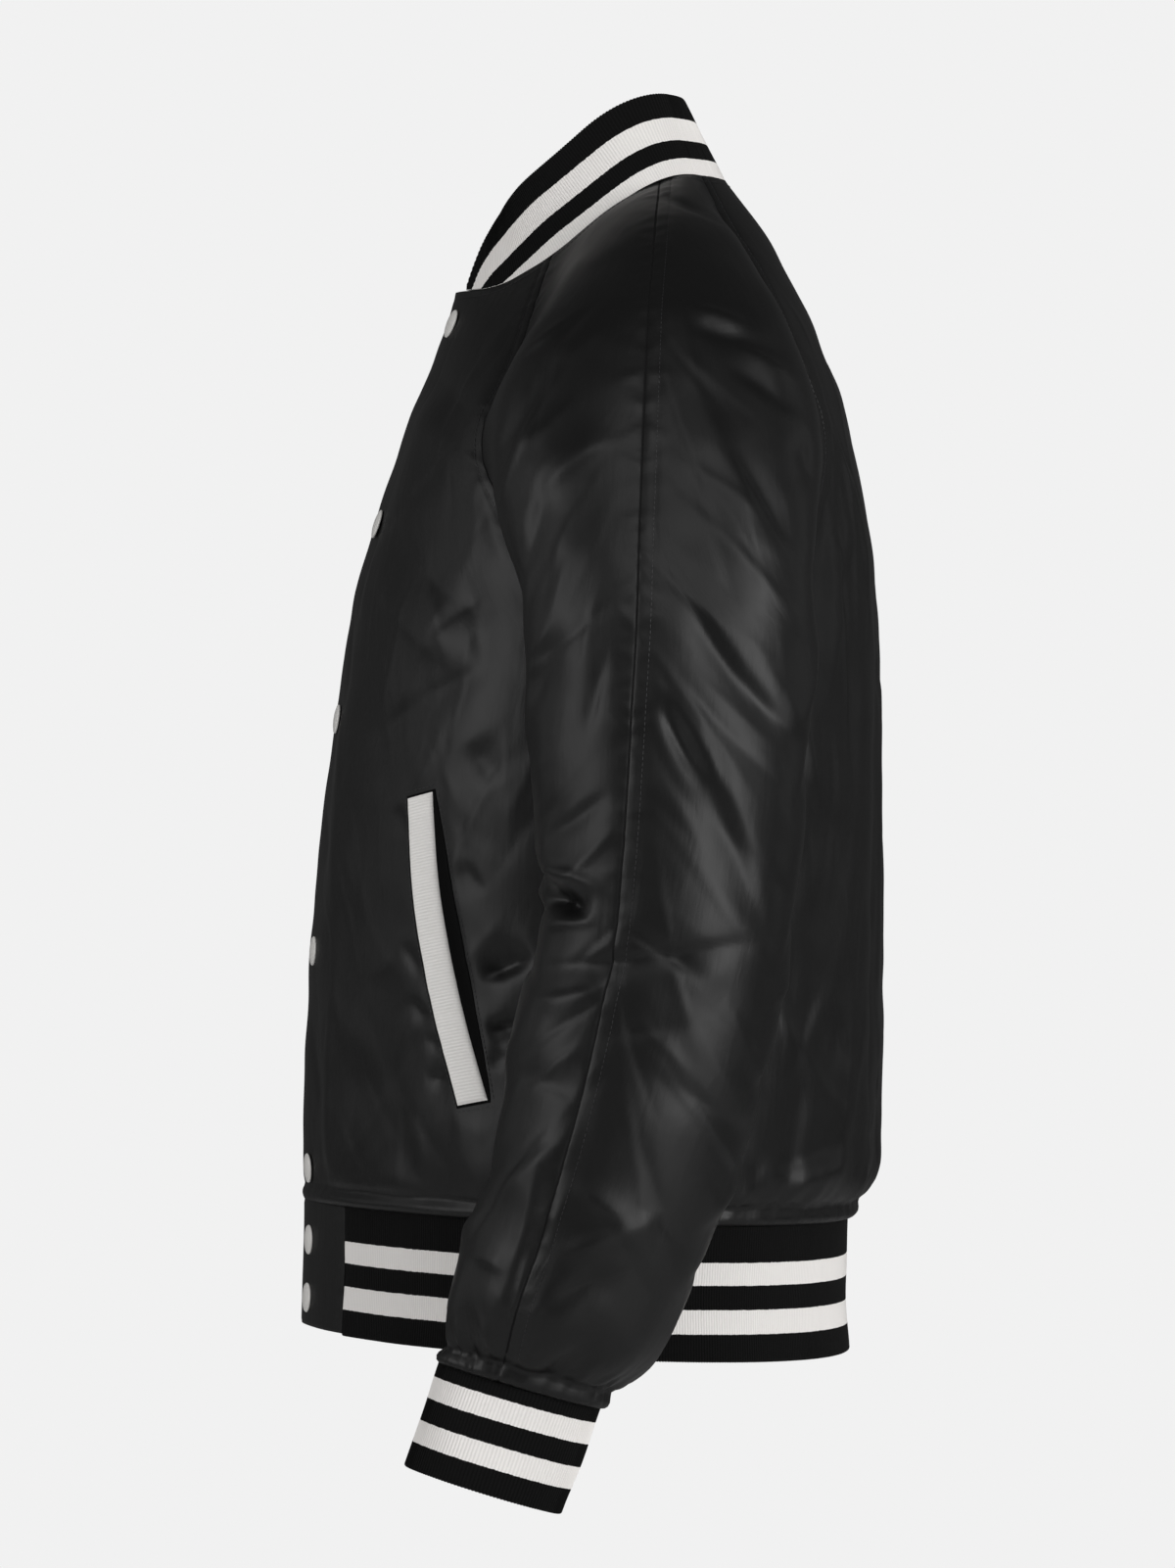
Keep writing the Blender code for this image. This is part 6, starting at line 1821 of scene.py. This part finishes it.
def stitches(name, rows):
    """One mesh of all stitches along several paths, each with its normals."""
    points, faces, start = [], [], 0
    rings = len(STITCH_PROFILE) - 2
    for path, lean in rows:
        for middle, way, out in zip(*stitch_points(path, lean)):
            side = np.cross(way, out)
            base = middle + out * THREAD_RADIUS * 0.5
            points.append(base + way * STITCH_PROFILE[0][0] * STITCH_LENGTH)
            for place, size in STITCH_PROFILE[1:-1]:
                for k in range(STITCH_SIDES):
                    angle = 2 * math.pi * k / STITCH_SIDES
                    spoke = side * math.cos(angle) + out * math.sin(angle)
                    points.append(base + way * place * STITCH_LENGTH
                                  + spoke * size * THREAD_RADIUS)
            points.append(base + way * STITCH_PROFILE[-1][0] * STITCH_LENGTH)
            end = start + 1 + rings * STITCH_SIDES
            for k in range(STITCH_SIDES):
                after = (k + 1) % STITCH_SIDES
                faces.append((start, start + 1 + after, start + 1 + k))
                for ring in range(rings - 1):
                    low = start + 1 + ring * STITCH_SIDES
                    faces.append((low + k, low + after, low + STITCH_SIDES + after,
                                  low + STITCH_SIDES + k))
                last = end - STITCH_SIDES
                faces.append((end, last + k, last + after))
            start = end + 1
    piece = to_object(name, np.array(points), faces, [thread])
    attach(piece)
    print(f"{name}: {start // (2 + rings * STITCH_SIDES)} stitches")
    return piece


def at_distance(lines, leans, gaps, distance):
    """The point of every line at one distance along it, and its normal."""
    path = [along(line, gap, distance) for line, gap in zip(lines, gaps)]
    out = [along(lean, gap, distance) for lean, gap in zip(leans, gaps)]
    return np.array(path), np.array(out)


def inside_edge(name, side, distance, rows):
    """A path at a distance from a panel's long edge, and its normals."""
    order = slice(None) if side == FIRST else slice(None, None, -1)
    gap = gaps_from(bare[name][rows], side)[:, order]
    return at_distance(cloth[name][rows, order], normals[name][rows, order], gap, distance)


def below_neck(name, distance):
    """A path at a distance below a panel's neckline, and its normals."""
    gap = gaps_from_top(bare[name]).T
    lines, leans = cloth[name].swapaxes(0, 1), normals[name].swapaxes(0, 1)
    return at_distance(lines, leans, gap, distance)


def near_welt(side, shares, widths):
    """A path on a front beside or across its welt, and its normals."""
    path, out = beside_welt(side, shares, widths)
    flip = np.array([side, 1.0, 1.0])
    return path.reshape(-1, 3) * flip, out.reshape(-1, 3) * flip


def pocket_stitches(side):
    """The four rows of stitches round one pocket: along both its edges and across its ends."""
    shares = np.linspace(0, 1, WELT_PATH_POINTS)
    inside = np.full(len(shares), -WELT_WIDTH / 2 - SHADE_BORDER - STITCH_INSIDE)
    outside = WELT_WIDTH / 2 + SHADE_BORDER + STITCH_OUTSIDE + MOUTH_GAPE * np.sin(math.pi * shares)
    across = np.linspace(*STITCH_ACROSS, ACROSS_POINTS)
    return [
        near_welt(side, shares, inside[:, None]),
        near_welt(side, shares, outside[:, None]),
        near_welt(side, [-STITCH_END_SHARE], [across]),
        near_welt(side, [1 + STITCH_END_SHARE], [across]),
    ]


# %% Stitch the panels
sewn = {}
sewn["front_left"] = [
    inside_edge("front_left", LAST, RAGLAN_STITCH, YOKE_PART),
    inside_edge("front_left", FIRST, EDGE_STITCH, slice(2, -ROLL_ROWS)),
    below_neck("front_left", NECK_STITCH),
] + pocket_stitches(1)
sewn["front_right"] = [
    inside_edge("front_right", FIRST, RAGLAN_STITCH, YOKE_PART),
    below_neck("front_right", NECK_STITCH),
] + pocket_stitches(-1)
sewn["back"] = [
    inside_edge("back", FIRST, RAGLAN_STITCH, YOKE_PART),
    inside_edge("back", LAST, RAGLAN_STITCH, YOKE_PART),
    below_neck("back", NECK_STITCH),
]
for side_name, side in (("left", FIRST), ("right", LAST)):
    front, rear = f"sleeve_{side_name}_front", f"sleeve_{side_name}_back"
    sewn[front] = [below_neck(front, NECK_STITCH)]
    sewn[rear] = [
        inside_edge(rear, side, CENTRE_STITCH, slice(0, -ROLL_ROWS)),
        below_neck(rear, NECK_STITCH),
    ]
for name, rows in sewn.items():
    rows_of_thread = stitches(f"stitches_{name}", rows)
    tell(panels[name], name, flat_size(bare[name]))

# %% [markdown]
# ## Snap caps
# A snap cap is pressed from sheet metal and enamelled: a low dome with a rolled rim. Each
# one is turned like a pot on the middle and the normal of its own solid, so it sits where
# the solid sits and leans as it leans.

# %% Snap caps
CAP_SIDES, SNAPS = 56, 7
CAP_PROFILE = (
    (0.000, 0.00), (0.900, 0.00), (0.970, 0.04), (1.000, 0.16), (0.995, 0.34), (0.965, 0.50),
    (0.915, 0.60), (0.870, 0.62), (0.835, 0.64), (0.740, 0.75), (0.580, 0.87), (0.390, 0.95),
    (0.190, 0.99), (0.000, 1.00),
)


def solid_points(node):
    """The corners of a node's solid, as points."""
    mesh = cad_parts[node].data
    flat = np.zeros(len(mesh.vertices) * 3)
    mesh.vertices.foreach_get("co", flat)
    return np.unique(np.round(flat.reshape(-1, 3), 6), axis=0)


def turned_cap(node):
    """A lathed cap in place of a snap's solid."""
    points = solid_points(node)
    middle = points.mean(axis=0)
    _, _, axes = np.linalg.svd(points - middle)
    out = axes[2] * (1 if axes[2] @ (middle - np.array([0, 0, middle[2]])) > 0 else -1)
    height = (points - middle) @ out
    base = middle + out * height.min()
    radius = np.linalg.norm(points - middle - np.outer(height, out), axis=1).max()
    side = unit(np.cross(out, (0.0, 0.0, 1.0)))
    up = np.cross(side, out)
    ring = np.linspace(0, 2 * math.pi, CAP_SIDES, endpoint=False)
    spokes = np.outer(np.cos(ring), side) + np.outer(np.sin(ring), up)
    tall = height.max() - height.min()
    rows = [base + spokes * radius * wide + out * tall * high for wide, high in CAP_PROFILE[1:-1]]
    points = np.vstack([base[None], *rows, (base + out * tall)[None]])
    faces, last = [], len(points) - 1
    for k in range(CAP_SIDES):
        after = (k + 1) % CAP_SIDES
        faces.append((0, 1 + k, 1 + after))
        for row in range(len(rows) - 1):
            low, high = 1 + row * CAP_SIDES, 1 + (row + 1) * CAP_SIDES
            faces.append((low + after, low + k, high + k, high + after))
        faces.append((last, last - CAP_SIDES + after, last - CAP_SIDES + k))
    cap = to_object(f"cap_{node}", points, faces, [enamel])
    tell(cap, node)


for number in range(1, SNAPS + 1):
    turned_cap(f"snap_{number}")
print("snap caps:", SNAPS)

# %% [markdown]
# ## Floor, light and background
# Black satin shows nothing but what it reflects, so the light is the picture. A broad soft
# light beside the camera, on the side of the jacket's back, gives the wide highlights of the
# sleeve. A weaker one above the camera draws the shoulder, one on the side of the front draws
# the chest, two faint strips light the far side, and a dim dome fills the rest. The floor lies
# well below the view, about where it would be under the wearer.

# %% Studio
FLOOR_Z, FLOOR_RADIUS, FLOOR_SIDES = -1.48, 3.0, 128
PALE, SKY_SEEN, SKY_FILL = (0.80, 0.80, 0.80), 0.88, 0.09
MIDDLE = (0.2, 0.0, -0.32)
LIGHTS = (  # name, place, width and height, power in watts
    ("key_rear_of_camera", (2.9, 2.6, 0.3), (2.2, 3.0), 116),
    ("high_light_by_camera", (3.2, 0.0, 2.6), (2.6, 1.6), 36),
    ("fill_front_of_camera", (1.9, -3.3, 0.5), (2.4, 2.6), 56),
    ("front_strip", (-0.9, -3.4, 0.6), (1.2, 2.8), 6),
    ("back_strip", (-0.9, 3.4, 0.6), (1.2, 2.8), 6),
)


def floor_disc():
    """A pale round floor."""
    mesh = bpy.data.meshes.new("studio_floor")
    ring = np.linspace(0, 2 * math.pi, FLOOR_SIDES, endpoint=False)
    points = [(FLOOR_RADIUS * math.cos(a), FLOOR_RADIUS * math.sin(a), FLOOR_Z) for a in ring]
    mesh.from_pydata(points, [], [list(range(len(points)))])
    finish = plain_finish("pale_floor", PALE, 0.8, 3, 0.0002)
    mesh.materials.append(finish)
    disc = bpy.data.objects.new("studio_floor", mesh)
    bpy.context.scene.collection.objects.link(disc)


def soft_light(name, place, size, power):
    """A broad rectangular light turned towards the middle of the jacket."""
    data = bpy.data.lights.new(name, "AREA")
    data.shape = "RECTANGLE"
    data.size, data.size_y = size
    data.energy = power
    lamp = bpy.data.objects.new(name, data)
    lamp.location = place
    way = Vector(MIDDLE) - Vector(place)
    lamp.rotation_euler = way.to_track_quat("-Z", "Y").to_euler()
    bpy.context.scene.collection.objects.link(lamp)


def sky(seen, fill):
    """A plain pale background for the camera, and a dimmer dome that lights the jacket."""
    world = bpy.data.worlds.new("pale_studio")
    world.use_nodes = True
    tree = world.node_tree
    tree.nodes.clear()
    out = tree.nodes.new("ShaderNodeOutputWorld")
    mix = tree.nodes.new("ShaderNodeMixShader")
    ray = tree.nodes.new("ShaderNodeLightPath")
    tree.links.new(ray.outputs["Is Camera Ray"], mix.inputs[0])
    for slot_number, strength in ((1, fill), (2, seen)):
        light = tree.nodes.new("ShaderNodeBackground")
        light.inputs["Color"].default_value = (1, 1, 1, 1)
        light.inputs["Strength"].default_value = strength
        tree.links.new(light.outputs[0], mix.inputs[slot_number])
    tree.links.new(mix.outputs[0], out.inputs["Surface"])
    bpy.context.scene.world = world


floor_disc()
for light in LIGHTS:
    soft_light(*light)
sky(SKY_SEEN, SKY_FILL)
bpy.context.scene.view_settings.view_transform = "Standard"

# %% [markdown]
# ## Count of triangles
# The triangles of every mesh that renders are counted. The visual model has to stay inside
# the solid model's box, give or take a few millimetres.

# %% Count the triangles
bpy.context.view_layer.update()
shown = [thing.data for thing in bpy.context.scene.objects
         if thing.type == "MESH" and not thing.hide_render]
triangles = sum(len(mesh.loops) - 2 * len(mesh.polygons) for mesh in shown)
print("triangles shown:", triangles)
